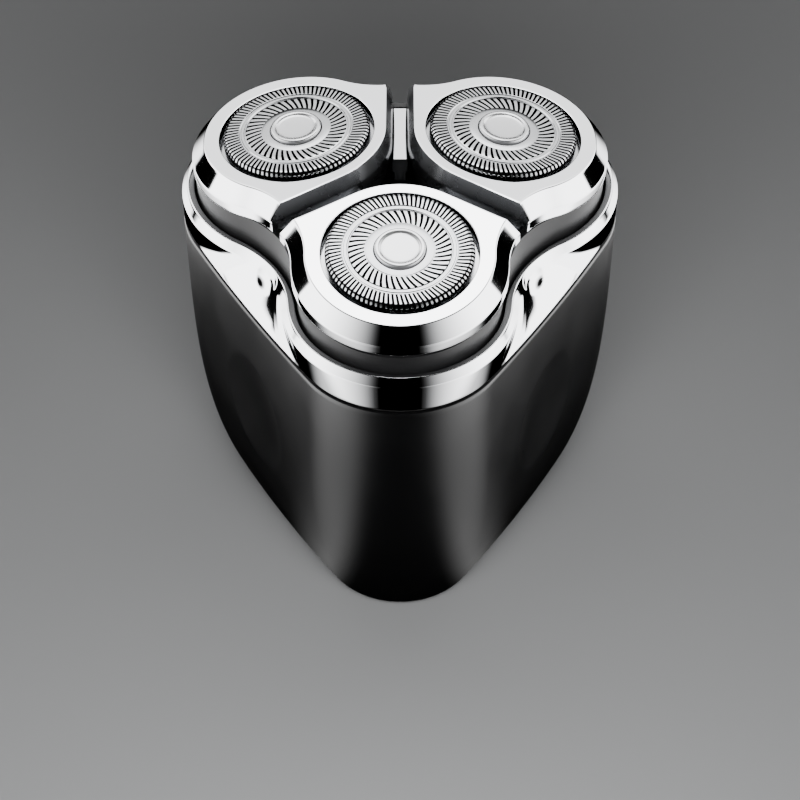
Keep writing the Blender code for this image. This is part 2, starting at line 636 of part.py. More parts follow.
def drive(number, degrees):
    """A gear driven by the pinion, its spindle, and the bush and the seal that the spindle turns in."""
    axle = around(degrees, GEAR_CENTRES)
    phase = math.pi + math.pi / GEAR_TEETH
    hub = SPINDLE_RADIUS + TOUCH_GAP
    outline = gear_outline(GEAR_TEETH, phase)
    gear_mesh = lofted([ring(outline, GEAR_WIDTH / 2), ring(outline, -GEAR_WIDTH / 2)])
    middle = (GEAR_TOP + GEAR_LOW) / 2
    gear_place = around(degrees, GEAR_CENTRES, middle)
    gear = add(f"drive_gear_{number}", gear_mesh, WHITE_PLASTIC, matrix=gear_place)
    bore = cylinder(hub, -GEAR_WIDTH, GEAR_WIDTH, steps=24)
    boolean(gear, bore, "DIFFERENCE", gear.matrix_basis)

    bush_low = CHASSIS_LOW - RUN_GAP
    flange_top = CHASSIS_TOP + TOUCH_GAP + BUSH_WALL
    collar = flange_top + TOUCH_GAP / 2
    waist = DECK_TOP + 2 * SEAL_WALL + RUN_GAP
    tip = PIVOT_Z + TIP_RADIUS
    shape = [
        (disc(JOURNAL_RADIUS), bush_low),
        (disc(JOURNAL_RADIUS), collar),
        (disc(SPINDLE_RADIUS), collar),
        (disc(SPINDLE_RADIUS), waist),
        (disc(TIP_RADIUS * 0.8), waist + SPINDLE_RADIUS),
        (disc(TIP_RADIUS * 0.8), PIVOT_Z - 1.5 * TIP_RADIUS),
        (hexagon(TIP_RADIUS), PIVOT_Z - TIP_RADIUS / 2),
        (hexagon(TIP_RADIUS), PIVOT_Z + TIP_RADIUS / 2),
        (hexagon(TIP_RADIUS * 0.7), tip),
    ]
    rings = [ring(outline, height) for outline, height in shape]
    add(f"drive_spindle_{number}", lofted(rings), STEEL, matrix=axle)

    inner = JOURNAL_RADIUS + RUN_GAP / 4
    outer = JOURNAL_RADIUS + RUN_GAP + BUSH_WALL
    flange = outer + BUSH_WALL
    bush = [
        (inner, CHASSIS_LOW),
        (inner, flange_top),
        (flange, flange_top),
        (flange, CHASSIS_TOP + TOUCH_GAP),
        (outer, CHASSIS_TOP + TOUCH_GAP),
        (outer, CHASSIS_LOW),
    ]
    turned(f"spindle_bush_{number}", bush, BRASS, matrix=axle, steps=14)
    inner = SPINDLE_RADIUS + RUN_GAP
    outer = inner + SEAL_WALL
    flange = outer + SEAL_WALL
    seal = [
        (inner, DECK_TOP + 2 * SEAL_WALL),
        (outer, DECK_TOP + 2 * SEAL_WALL),
        (flange, DECK_TOP + SEAL_WALL),
        (flange, DECK_TOP + TOUCH_GAP),
        (outer, DECK_TOP + TOUCH_GAP),
        (outer, DECK_LOW),
        (inner, DECK_LOW),
    ]
    turned(f"spindle_seal_{number}", seal, RUBBER, matrix=axle, steps=14)


def power():
    """The cell in its cradle, the board behind the motor, and what stands on the board."""
    end = CELL_LENGTH / 2
    nub = CELL_RADIUS * 0.3
    along = Matrix.Translation((0, CELL_Y, CELL_Z)) @ Matrix.Rotation(math.radians(90), 4, "Y")
    cell = [
        (0, end),
        (nub, end),
        (nub, end - 0.001),
        (CELL_RADIUS, end - 0.001),
        (CELL_RADIUS, -end),
        (0, -end),
    ]
    turned("battery_cell", cell, CELL_WRAP, matrix=along, steps=24)
    floor = SHELL_WALL + TOUCH_GAP
    wide = CELL_RADIUS * 0.85
    half = CRADLE_LENGTH / 2
    cradle_low = (-half, CELL_Y - wide, floor)
    cradle_high = (half, CELL_Y + wide, CELL_Z - CELL_RADIUS / 2)
    cradle = add("battery_cradle", box(cradle_low, cradle_high), GREY_PLASTIC)
    seat = cylinder(CELL_RADIUS + TOUCH_GAP, -half - 0.001, half + 0.001)
    boolean(cradle, seat, "DIFFERENCE", along)

    back = BOARD_Y + BOARD_THICKNESS
    board_low = SHELL_WALL + 2 * TOUCH_GAP
    board_top = CHASSIS_LOW - RIB_HEIGHT - 3 * TOUCH_GAP
    wide = BOARD_WIDTH / 2
    add("control_board", box((-wide, BOARD_Y, board_low), (wide, back, board_top)), BOARD_GREEN)

    width, thickness, height = SOCKET_SIZE
    mouth_width, mouth_thickness, mouth_depth = SOCKET_MOUTH
    low = SHELL_WALL / 4
    socket_low = (-width / 2, SOCKET_Y - thickness / 2, low)
    socket_high = (width / 2, SOCKET_Y + thickness / 2, low + height)
    socket = add("charging_socket", box(socket_low, socket_high), STEEL)
    mouth_low = (-mouth_width / 2, SOCKET_Y - mouth_thickness / 2, low - 0.001)
    mouth_high = (mouth_width / 2, SOCKET_Y + mouth_thickness / 2, low + mouth_depth)
    boolean(socket, box(mouth_low, mouth_high), "DIFFERENCE")
    tongue_low = (-mouth_width * 0.38, SOCKET_Y - mouth_thickness * 0.14, low + TOUCH_GAP)
    tongue_high = (mouth_width * 0.38, SOCKET_Y + mouth_thickness * 0.14, low + mouth_depth + TOUCH_GAP)
    boolean(socket, box(tongue_low, tongue_high), "UNION")

    switch_low = back + TOUCH_GAP
    switch_high = button_back() - BUTTON_TRAVEL - TOUCH_GAP
    half = SWITCH_SIZE / 2
    low, high = (-half, switch_low, DIMPLE_Z - half), (half, switch_low + half, DIMPLE_Z + half)
    switch = add("tact_switch", box(low, high), STEEL)
    rear = Matrix.Translation((0, 0, DIMPLE_Z)) @ Matrix.Rotation(math.radians(-90), 4, "X")
    boolean(switch, cylinder(BUTTON_STEM, switch_low + half / 2, switch_high, steps=20), "UNION", rear)

    guide = Matrix.Translation((0, 0, LIGHT_Z)) @ Matrix.Rotation(math.radians(-90), 4, "X")
    face = flank_distance(LIGHT_Z)
    profile = [
        (0, face),
        (LIGHT_RADIUS, face),
        (LIGHT_RADIUS, back + TOUCH_GAP),
        (0, back + TOUCH_GAP),
    ]
    turned("light_guide", profile, CLEAR, matrix=guide, steps=16)


def button_back():
    """Where the end of the button's stem is, along Y."""
    return flank_distance(DIMPLE_Z, SHELL_WALL) - BUTTON_TRAVEL - 2 * TOUCH_GAP


def power_button():
    face = flank_distance(DIMPLE_Z) - DIMPLE_DEPTH / 4
    rear = Matrix.Translation((0, 0, DIMPLE_Z)) @ Matrix.Rotation(math.radians(-90), 4, "X")
    edge = BUTTON_RADIUS * 0.12
    profile = [
        (0, face),
        (BUTTON_RADIUS * 0.5, face),
        (BUTTON_RADIUS - edge, face - edge / 2),
        (BUTTON_RADIUS, face - 1.5 * edge),
        (BUTTON_RADIUS, face - BUTTON_THICKNESS),
        (BUTTON_STEM, face - BUTTON_THICKNESS),
        (BUTTON_STEM, button_back()),
        (0, button_back()),
    ]
    turned("power_button", profile, CHROME, matrix=rear, steps=24)


def holder():
    """The trefoil cup that carries the heads and pulls off the body."""
    outer, inner = holder_outline(0), holder_outline(HOLDER_WALL)
    floor = HOLDER_LOW + HOLDER_FLOOR
    rings = [
        ring(inner, floor),
        ring(inner, rim_height(inner, HOLDER_RIM_DEPTH)),
        ring(outer, rim_height(outer, HOLDER_RIM_DEPTH)),
        ring(outer, HOLDER_LOW),
    ]
    obj = add("head_holder", lofted(rings), DARK_SATIN)

    solids = bmesh.new()
    rib_top = TOP_HEIGHT - TRIM_DEPTH_OUT - TRIM_HEIGHT - TOUCH_GAP
    cylinder(POST_RADIUS, HOLDER_LOW + HOLDER_FLOOR / 2, rib_top, steps=24, bm=solids)
    boolean(obj, mesh_of(solids), "UNION")
    ribs = bmesh.new()
    for degrees in VALLEYS.values():
        half = TRIM_WIDTH / 2 - TOUCH_GAP
        low = (POST_RADIUS / 2, -half, HOLDER_LOW + HOLDER_FLOOR / 2)
        box(low, (HOLDER_VALLEY - HOLDER_WALL / 2, half, rib_top), around(degrees), ribs)
    boolean(obj, mesh_of(ribs), "UNION")

    saddles = bmesh.new()
    holes = bmesh.new()
    bearing_in = retainer_radius() + 2 * TOUCH_GAP
    for degrees in HEADS.values():
        frame = head_frame(degrees)
        for side in (-1, 1):
            near, far = sorted((side * bearing_in, side * (HOLDER_RADIUS - HOLDER_WALL / 2)))
            width = 2.5 * TRUNNION_RADIUS
            drop = (HOLDER_LOW + HOLDER_FLOOR / 2 - PIVOT_Z) / math.cos(HEAD_TILT)
            box((near, -width, drop), (far, width, 0), frame, saddles)
        across = frame @ Matrix.Rotation(math.radians(90), 4, "Y")
        reach = HOLDER_RADIUS - HOLDER_WALL
        cylinder(TRUNNION_RADIUS + RUN_GAP / 2, -reach, reach, across, 24, holes)
        clear = SPINDLE_RADIUS + RUN_GAP + 2 * SEAL_WALL + 2 * TOUCH_GAP
        cylinder(clear, HOLDER_LOW - 0.001, floor + 0.001, around(degrees, GEAR_CENTRES), 24, holes)
    boolean(obj, mesh_of(saddles), "UNION")
    boolean(obj, mesh_of(holes), "DIFFERENCE")
    return obj


def gap_trim(number, degrees):
    """A bright bar in the gap between two head plates."""
    half = TRIM_WIDTH / 2
    end = HOLDER_VALLEY - HOLDER_WALL - TOUCH_GAP
    edge = half * 0.3
    low = TOP_HEIGHT - TRIM_DEPTH_OUT - TRIM_HEIGHT
    section = [(-half, low), (half, low), (half, -edge), (half - edge, 0), (edge - half, 0), (-half, -edge)]
    rings = []
    for distance, depth in ((TRIM_START, TRIM_DEPTH_IN), (end, TRIM_DEPTH_OUT)):
        top = TOP_HEIGHT - depth
        rings.append([(distance, y, z if z > 0 else top + z) for y, z in section])
    add(f"gap_trim_{number}", lofted(rings), CHROME, matrix=around(degrees))


def retainer_radius():
    return GUARD_RADIUS + GUARD_FLANGE + TOUCH_GAP + RETAINER_WALL


def petal(number, pivot):
    """The plate that rocks on its trunnions, and the ring under it that keeps the guard in."""
    top = petal_outline(PETAL_RADIUS, PETAL_GAP / 2)
    wide = petal_outline(SKIRT_RADIUS, PETAL_GAP / 2 - PETAL_GAP_BEVEL)
    rings = [
        ring(top, level(0)),
        ring(wide, level(PETAL_BEVEL_DEPTH)),
        ring(wide, level(PETAL_SKIRT_DEPTH)),
    ]
    plate = add(f"petal_plate_{number}", lofted(rings), CHROME, pivot)
    inside = petal_outline(
        SKIRT_RADIUS - PETAL_SKIRT_WALL, PETAL_GAP / 2 - PETAL_GAP_BEVEL + PETAL_SKIRT_WALL
    )
    shelf = petal_outline(PETAL_RADIUS, PETAL_GAP / 2 - PETAL_GAP_BEVEL + PETAL_SKIRT_WALL)
    hollow = [
        ring(shelf, level(PLATE_THICKNESS)),
        ring(inside, level(PETAL_BEVEL_DEPTH + PETAL_SKIRT_WALL / 2)),
        ring(inside, level(PETAL_SKIRT_DEPTH + 0.001)),
    ]
    boolean(plate, lofted(hollow), "DIFFERENCE")
    boolean(plate, cylinder(PLATE_HOLE, level(PETAL_SKIRT_DEPTH), level(-0.001), steps=48), "DIFFERENCE")

    outer = retainer_radius()
    inner = outer - RETAINER_WALL
    shelf_top = flange_depth() + GUARD_WALL + GUARD_TRAVEL + TOUCH_GAP * 2
    shelf_inner = inner - GUARD_FLANGE
    low = level(PIVOT_DEPTH + TRUNNION_RADIUS + TOUCH_GAP)
    high = level(PLATE_THICKNESS + TOUCH_GAP)
    profile = [
        (inner, high),
        (outer, high),
        (outer, low),
        (shelf_inner, low),
        (shelf_inner, level(shelf_top)),
        (inner, level(shelf_top)),
    ]
    retainer = turned(f"retaining_ring_{number}", profile, DARK_PLASTIC, pivot, steps=24)
    pins = bmesh.new()
    across = Matrix.Rotation(math.radians(90), 4, "Y")
    reach = HOLDER_RADIUS - HOLDER_WALL - TOUCH_GAP
    for near, far in ((inner, reach), (-reach, -inner)):
        cylinder(TRUNNION_RADIUS, near, far, across, 12, pins)
    boolean(retainer, mesh_of(pins), "UNION")


def flange_depth():
    """The depth of the top of the guard's flange, just under the plate."""
    return PLATE_THICKNESS + TOUCH_GAP


def guard(number, pivot):
    """The guard over the cutter, and the cap at its centre."""
    inner = GUARD_RADIUS - GUARD_WALL
    flange = flange_depth()
    under = -GUARD_RISE + GUARD_SKIN
    hole = CAP_RADIUS + TOUCH_GAP / 2
    profile = [
        (hole, level(-GUARD_RISE)),
        (GUARD_RADIUS - GUARD_CHAMFER, level(-GUARD_RISE)),
        (GUARD_RADIUS, level(-GUARD_RISE + GUARD_CHAMFER)),
        (GUARD_RADIUS, level(flange)),
        (GUARD_RADIUS + GUARD_FLANGE, level(flange)),
        (GUARD_RADIUS + GUARD_FLANGE, level(flange + GUARD_WALL)),
        (inner, level(flange + GUARD_WALL)),
        (inner, level(under + GUARD_CHAMFER)),
        (inner - GUARD_CHAMFER, level(under)),
        (hole, level(under)),
    ]
    turned(f"foil_guard_{number}", profile, STEEL, pivot, steps=30)
    edge = CAP_RISE / 2
    cap = [
        (0, level(-GUARD_RISE - CAP_RISE - edge)),
        (CAP_RADIUS * 0.6, level(-GUARD_RISE - CAP_RISE - edge / 2)),
        (CAP_RADIUS - edge, level(-GUARD_RISE - CAP_RISE)),
        (CAP_RADIUS, level(-GUARD_RISE - edge)),
        (CAP_RADIUS, level(under)),
        (0, level(under)),
    ]
    turned(f"foil_cap_{number}", cap, PEARL, pivot, steps=20)


def cutter(number, pivot):
    """The cutter under the guard: a disc with blades on it, and a hub that the spindle's tip fits."""
    blade_top = level(CUTTER_TOP)
    disc_top = blade_top - BLADE_HEIGHT
    disc_low = disc_top - CUTTER_DISC
    reach = GUARD_RADIUS - GUARD_WALL - TOUCH_GAP
    hub = TIP_RADIUS * 2.4
    hub_low = -TIP_RADIUS
    profile = [
        (0, disc_top),
        (reach, disc_top),
        (reach, disc_low),
        (hub, disc_low),
        (hub, hub_low),
        (0, hub_low),
    ]
    obj = turned(f"cutter_{number}", profile, STEEL, pivot, steps=24)
    blades = bmesh.new()
    for blade in range(CUTTER_BLADES):
        turn = Matrix.Rotation(2 * math.pi * blade / CUTTER_BLADES, 4, "Z")
        low = (CAP_RADIUS + 2 * BLADE_WIDTH, -BLADE_WIDTH / 2, disc_top - CUTTER_DISC / 2)
        box(low, (reach - GUARD_CHAMFER, BLADE_WIDTH / 2, blade_top), turn, blades)
    boolean(obj, mesh_of(blades), "UNION")
    socket = hexagon(TIP_RADIUS * 1.5)
    ceiling = TIP_RADIUS + GUARD_TRAVEL + 2 * TOUCH_GAP
    boolean(obj, lofted([ring(socket, ceiling), ring(socket, hub_low - 0.001)]), "DIFFERENCE")


def pivots():
    """An empty on each head's pivot, turned to the head's axis."""
    made = {}
    for number, degrees in HEADS.items():
        made[number] = bpy.data.objects.new(f"head_pivot_{number}", None)
        made[number].empty_display_size = GUARD_RADIUS
        PARTS.objects.link(made[number])
        made[number].matrix_world = head_frame(degrees)
    return made


def build():
    body_shell()
    body_gasket()
    bezel_ring()
    deck()
    chassis()
    screws()
    motor()
    rotor()
    power()
    power_button()
    holder()
    for number, degrees in VALLEYS.items():
        gap_trim(number, degrees)
    heads = pivots()
    for number, degrees in HEADS.items():
        drive(number, degrees)
        petal(number, heads[number])
        guard(number, heads[number])
        cutter(number, heads[number])


for leftover in list(bpy.data.objects):
    bpy.data.objects.remove(leftover, do_unlink=True)

PARTS = collection("rotary_shaver")
CUTTERS = collection("cutters")
CUTTERS.hide_render = True

CHROME = finish("polished chrome", (0.80, 0.80, 0.81), 0.08, 1.0)
STEEL = finish("bright steel", (0.62, 0.62, 0.63), 0.25, 1.0)
BRASS = finish("brass", (0.75, 0.58, 0.28), 0.30, 1.0)
PEARL = finish("pearl enamel", (0.78, 0.78, 0.79), 0.25, 0.0)
SATIN_BLACK = finish("satin black plastic", (0.012, 0.012, 0.013), 0.35, 0.0)
DARK_SATIN = finish("dark grey plastic", (0.045, 0.045, 0.047), 0.40, 0.0)
DARK_PLASTIC = finish("black plastic", (0.02, 0.02, 0.02), 0.50, 0.0)
GREY_PLASTIC = finish("grey plastic", (0.35, 0.35, 0.36), 0.50, 0.0)
WHITE_PLASTIC = finish("white acetal", (0.80, 0.80, 0.77), 0.40, 0.0)
RUBBER = finish("black rubber", (0.015, 0.015, 0.015), 0.75, 0.0)
CELL_WRAP = finish("blue cell wrap", (0.03, 0.12, 0.40), 0.35, 0.0)
BOARD_GREEN = finish("green circuit board", (0.02, 0.18, 0.07), 0.45, 0.0)
CLEAR = finish("frosted light guide", (0.80, 0.85, 0.88), 0.30, 0.0)

build()
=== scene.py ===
"""The looks of a three-head rotary shaver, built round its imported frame. Metres, +Z up, base at z = 0.

Every new piece is a surface worked out on a grid: an outline that runs round the shaver, or round one
of its heads, is carried along a profile. Heads stand on the pivots that the frame's joints give.
"""

import json
import math

import bmesh
import bpy
import numpy as np
from mathutils import Matrix, Vector


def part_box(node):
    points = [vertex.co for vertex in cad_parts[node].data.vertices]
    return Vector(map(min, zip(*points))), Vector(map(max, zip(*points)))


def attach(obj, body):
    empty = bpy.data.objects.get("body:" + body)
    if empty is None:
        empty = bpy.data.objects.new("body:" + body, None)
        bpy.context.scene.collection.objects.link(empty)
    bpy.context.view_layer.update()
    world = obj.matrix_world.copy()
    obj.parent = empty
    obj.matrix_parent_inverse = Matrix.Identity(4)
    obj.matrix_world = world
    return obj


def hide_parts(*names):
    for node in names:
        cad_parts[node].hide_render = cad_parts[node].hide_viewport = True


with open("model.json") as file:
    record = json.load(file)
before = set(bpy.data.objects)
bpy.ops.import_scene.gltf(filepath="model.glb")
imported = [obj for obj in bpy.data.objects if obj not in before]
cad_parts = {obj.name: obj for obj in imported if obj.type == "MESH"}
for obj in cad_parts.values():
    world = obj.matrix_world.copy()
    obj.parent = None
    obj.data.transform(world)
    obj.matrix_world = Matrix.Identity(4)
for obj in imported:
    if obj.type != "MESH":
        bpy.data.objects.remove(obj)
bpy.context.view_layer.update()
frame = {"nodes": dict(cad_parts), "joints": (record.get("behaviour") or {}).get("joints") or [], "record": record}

MM = 0.001
HEADS = (1, 2, 3)
LOBE_AZIMUTH = {1: -90, 2: 30, 3: 150}
VALLEY_AZIMUTH = {1: -30, 2: 90, 3: 210}

# Heights and plan sizes of the round-cornered parts, from the frame
JOINTS = {joint["name"]: joint for joint in frame["joints"]}
PIVOT = {head: Vector(JOINTS[f"petal_rock_{head}"]["pos_m"]) for head in HEADS}
AXIS = {head: Vector(JOINTS[f"guard_float_{head}"]["axis"]).normalized() for head in HEADS}
TILT = math.acos(AXIS[1].z)
PIVOT_DEPTH = 6.0 * MM
HEAD_CENTRE = PIVOT[1] + PIVOT_DEPTH * AXIS[1]
TOP = HEAD_CENTRE.z
OFFSET = math.hypot(HEAD_CENTRE.x, HEAD_CENTRE.y)
BODY_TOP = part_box("body_shell")[1][2]
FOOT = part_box("bezel_ring")[0][2]
LIP_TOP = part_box("bezel_ring")[1][2]
HOLDER_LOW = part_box("head_holder")[0][2]

# All pieces
LONGEST_STEP = 0.35 * MM
CREASE_ANGLE = 30

# Heads
PLATE_HOLE = 11.7 * MM
PETAL_RADIUS = 14.0 * MM
SKIRT_OUT = 2.1 * MM
SKIRT_WALL = 0.6 * MM
BEVEL_DEPTH = 2.5 * MM
SKIRT_DEPTH = 4.3 * MM
PLATE_THICK = 1.2 * MM
HALF_GAP = 2.025 * MM
GAP_BEVEL = 0.5 * MM
GAP_COLUMNS = 20
GUARD_RISE = 0.8 * MM
PLATE_ARRIS = 0.17 * MM
HOLLOW_EXTRA = 0.3 * MM
BEVEL_STARTS = 0.1 * MM
HOLE_EDGE = 0.02 * MM
OUTER_SLOTS = 90
SLOT_DEPTH = 0.32 * MM
INNER_SLOTS_END = 7.65 * MM
# in a pair of steps: where the parts of an inner slot start, and where they are moved to
INNER_SLOT_PLACES = ((0, 0.74, 0.78, 1.22, 1.26, 2), (0, 0.52, 0.58, 1.42, 1.48, 2))
# radius, and the sweep there in radians
SLOT_SWEEP = ((5.2 * MM, 7.6 * MM, 8.6 * MM, 11.05 * MM), (0, 0.15, 0.15, 0.20))
SHOULDER_START = 10.35 * MM
SHOULDER_WIDTH = 0.7 * MM
CAP_ARRIS = 0.15 * MM
CAP_SUNK = 0.1 * MM

# Holder, bezel and body
HOLDER_RADIUS = 15.1 * MM
HOLDER_VALLEY = 20.6 * MM
HOLDER_WALL = 1.0 * MM
RIM_DEPTH = 5.0 * MM
BAND_SKIN = 0.05 * MM
LIP_RADIUS = 16.6 * MM
LIP_VALLEY = 21.7 * MM
CREASE_DROP = 1.5 * MM
CREASE_OUT = 0.8 * MM
CREASE_VALLEY_OUT = 1.0 * MM
LIP_CLEARANCE = 0.4 * MM
LIP_SLOPE = 0.35 * MM
BEZEL_WALL = 1.6 * MM
BEZEL_ARRIS = 0.22 * MM
NOTCH_HALF_WIDTH = 2.6 * MM
NOTCH_HALF_HEIGHT = 1.9 * MM
NOTCH_DOWN = 2.0 * MM
NOTCH_DEPTH = 0.48 * MM
NOTCH_FROM_LIP = 0.3 * MM
NOTCH_FROM_FOOT = 0.5 * MM
FOOT_CENTRE = OFFSET + 1.1 * MM
FOOT_RADIUS = LIP_RADIUS - 0.3 * MM
FLANK_BULGE = 0.5 * MM
TAPER_SHIFT = 2.7 * MM
TAPER_RADIUS = 5.4 * MM
TAPER_POWER = 3.9
SHELL_WALL = 1.6 * MM
DIMPLE_Z = 27.0 * MM
DIMPLE_SIZE = (16.0 * MM, 21.5 * MM)
DIMPLE_DEPTH = 1.3 * MM
RIM_ROUND = 0.25 * MM
RIM_ROUND_MIDDLE = 0.07 * MM
BASE_FILLET = 1.8 * MM

# The bars in the gaps
TRIM_START = 5.5 * MM
TRIM_END = HOLDER_VALLEY - 1.4 * MM
TRIM_LOW = TOP - 6.3 * MM
TRIM_DEPTH = 2.2 * MM
TRIM_FALL = 1.8 * MM
TRIM_HALF = 1.1 * MM
TRIM_WAIST = 0.12
TRIM_ARRIS = 0.2 * MM
TRIM_STATIONS = (TRIM_START, 5.6 * MM, 8 * MM, 12 * MM, 16 * MM, TRIM_END - 0.1 * MM, TRIM_END)

# The button and the openings in the body
BUTTON_RADIUS = 4.6 * MM
BUTTON_STEM = 1.4 * MM
BUTTON_HEAD = 2.2 * MM
BUTTON_ARRIS = 0.12 * MM
BUTTON_DISH = 0.35 * MM
BUTTON_RIM_DROP = 0.4 * MM
BUTTON_STEP = 0.1 * MM
BUTTON_CLEARANCE = 0.3 * MM
LIGHT_CLEARANCE = 0.15 * MM
PORT_CLEARANCE = 0.25 * MM
BORE_REACH = 4 * MM
PORT_PAST_BASE = 1 * MM

# Camera and studio. The lens is in mm, and the glows are strengths of emission.
CAMERA_LENS = 257.4
CAMERA_RISE = math.radians(41.2)
CAMERA_DROP = math.radians(2.28)
CAMERA_REACH = 0.85
FLOOR_HALF = 3.0
ROOM_LEVEL = 0.006
DOME_RADIUS = 1.5
SIDE_GLOW = 6.0
NEAR_GLOW = 1.15
FAR_GLOW = 5.5
FLOOR_GLOW_HEIGHT = 0.4 * MM

# Grids


def placed(name, data):
    """A new object with this data, in the scene."""
    made = bpy.data.objects.new(name, data)
    bpy.context.scene.collection.objects.link(made)
    return made


def grid_mesh(name, points, closed=False):
    """Quads over a grid of points that wraps round in its columns, and in its rows where it is closed."""
    rows, columns = points.shape[:2]
    down, across = np.arange(rows if closed else rows - 1), np.arange(columns)
    upper, left = np.meshgrid(down, across, indexing="ij")
    lower, right = (upper + 1) % rows, (left + 1) % columns
    corners = np.stack([upper, lower, lower, upper], -1) * columns + np.stack([left, left, right, right], -1)
    mesh = bpy.data.meshes.new(name)
    mesh.from_pydata(points.reshape(-1, 3).tolist(), [], corners.reshape(-1, 4).tolist())
    return mesh


def weld(mesh):
    """Merges the points of a pole or a seam and turns every face outwards."""
    bm = bmesh.new()
    bm.from_mesh(mesh)
    bmesh.ops.remove_doubles(bm, verts=bm.verts, dist=1e-7)
    bmesh.ops.recalc_face_normals(bm, faces=bm.faces)
    bm.to_mesh(mesh)
    bm.free()


def shade(mesh, sharp=CREASE_ANGLE):
    """Smooth, but sharp where two faces meet at more than this angle, in degrees."""
    mesh.shade_smooth()
    mesh.set_sharp_from_angle(angle=math.radians(sharp))


def piece(
    name, points, materials, body, replaced=None, *, sharp=CREASE_ANGLE, which=None, closed=True
):
    """A visible piece made from a grid of points. It rides on a body, and may stand in for a CAD node.

    Rows whose points all meet are poles. A closed grid joins its last row to its first, so that it is
    a tube, and a grid that isn't closed starts and ends in poles. which gives each face its material
    by number.
    """
    mesh = grid_mesh(name, points, closed)
    obj = placed(name, mesh)
    for finish in materials:
        mesh.materials.append(finish)
    if which is not None:
        mesh.polygons.foreach_set("material_index", which.reshape(-1).astype(np.int32))
    weld(mesh)
    shade(mesh, sharp)
    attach(obj, body)
    if replaced:
        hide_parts(replaced)
    return obj


def rounded(profile, radius, steps=5, loop=False):
    """Each corner of the profile becomes a short quadratic curve that starts and ends radius from it."""
    profile = np.array(profile, float)
    before, after = np.roll(profile, 1, 0), np.roll(profile, -1, 0)
    t = np.linspace(0, 1, steps)[:, None]
    made = []
    for number, (point, back, ahead) in enumerate(zip(profile, before, after)):
        if not loop and number in (0, len(profile) - 1):
            made.append(point[None])
            continue
        in_way, out_way = back - point, ahead - point
        in_length, out_length = np.linalg.norm(in_way), np.linalg.norm(out_way)
        cut = min(radius, in_length * 0.45, out_length * 0.45)
        start, end = point + in_way * cut / in_length, point + out_way * cut / out_length
        made.append((1 - t) ** 2 * start + 2 * t * (1 - t) * point + t**2 * end)
    return np.concatenate(made)


def divided(profile):
    """Adds points to a profile that closes on itself, so that no step is longer than LONGEST_STEP."""
    made = []
    for start, end in zip(profile, np.roll(profile, -1, 0)):
        count = max(1, math.ceil(np.linalg.norm(end - start) / LONGEST_STEP))
        made.append(start + np.linspace(0, 1, count, endpoint=False)[:, None] * (end - start))
    return np.concatenate(made)


def soft(value, start, end):
    """0 before start and 1 after end, with a smooth step between them."""
    t = np.clip((value - start) / (end - start), 0, 1)
    return t * t * (3 - 2 * t)


def plane_turn(degrees):
    """The matrix of a turn about +Z. Its columns point along the direction and square to it."""
    angle = math.radians(degrees)
    return np.array([[math.cos(angle), -math.sin(angle)], [math.sin(angle), math.cos(angle)]])


def arc(centre, radius, start, end, steps):
    """Points of an arc, angles in radians, without its last."""
    angles = np.linspace(start, end, steps, endpoint=False)
    return np.array(centre) + radius * np.stack([np.cos(angles), np.sin(angles)], 1)


def lobed(centre, radius, flank, lobe_steps=26, flank_steps=26):
    """Three round lobes of this radius, whose centres are this far from the axis, anticlockwise.

    Between two lobes runs an arc that touches both circles and passes at the distance flank from the
    axis. With reach = flank - centre / 2, its radius is
    (radius^2 - reach^2 - 3/4 centre^2) / (2 (radius - reach)), hollow where that is negative.
    """
    reach = flank - centre / 2
    side = (radius**2 - reach**2 - 0.75 * centre**2) / (2 * (radius - reach))
    middle = math.radians(60)
    line = np.array([math.cos(middle), math.sin(middle)])
    bow = (flank - side) * line
    touch = math.copysign(1, side) * (np.array([centre, 0]) - bow)
    tangent = math.atan2(touch[1], touch[0])
    start, end = (tangent, middle) if side > 0 else (tangent - math.pi, middle - math.pi)
    half = np.concatenate([
        arc((centre, 0), radius, 0, tangent, lobe_steps),
        arc(bow, abs(side), start, end, flank_steps),
        [flank * line],
    ])
    double = 2 * middle
    mirror = np.array([[math.cos(double), math.sin(double)], [math.sin(double), -math.cos(double)]])
    third = np.concatenate([half, (half[1:-1] @ mirror)[::-1]])
    return np.concatenate([third @ plane_turn(angle).T for angle in LOBE_AZIMUTH.values()])


def raised(outline, height):
    """A flat outline at a height, which may be one number or one for each of its points."""
    return np.column_stack([outline, np.broadcast_to(height, len(outline))])


def head_matrix(head):
    """A head's frame: origin on its pivot, +Z along its tilted axis, +Y outwards."""
    axis = AXIS[head]
    across = Vector((0, 0, 1)).cross(axis).normalized() * -1
    outwards = axis.cross(across)
    return Matrix.Translation(PIVOT[head]) @ Matrix((across, outwards, axis)).transposed().to_4x4()


def on_head(points, head):
    """Points in a head's frame, where the plate's top is PIVOT_DEPTH above the pivot, put in place."""
    matrix = np.array(head_matrix(head))
    return points @ matrix[:3, :3].T + matrix[:3, 3]


def swept(profile, columns):
    """A turned surface about +Z: each (radius, height) of the profile carried round in a circle."""
    angles = np.linspace(0, 2 * math.pi, columns, endpoint=False)
    profile = np.asarray(profile, float)
    ring = np.stack([np.cos(angles), np.sin(angles)], 1)
    flat = profile[:, None, :1] * ring[None]
    return np.concatenate([flat, np.broadcast_to(profile[:, None, 1:], (*flat.shape[:2], 1))], 2)


# Materials


def colour(text):
    """An sRGB hex value as linear RGBA."""
    levels = [int(text[place : place + 2], 16) / 255 for place in (1, 3, 5)]
    return (*[level / 12.92 if level <= 0.04045 else ((level + 0.055) / 1.055) ** 2.4 for level in levels], 1)


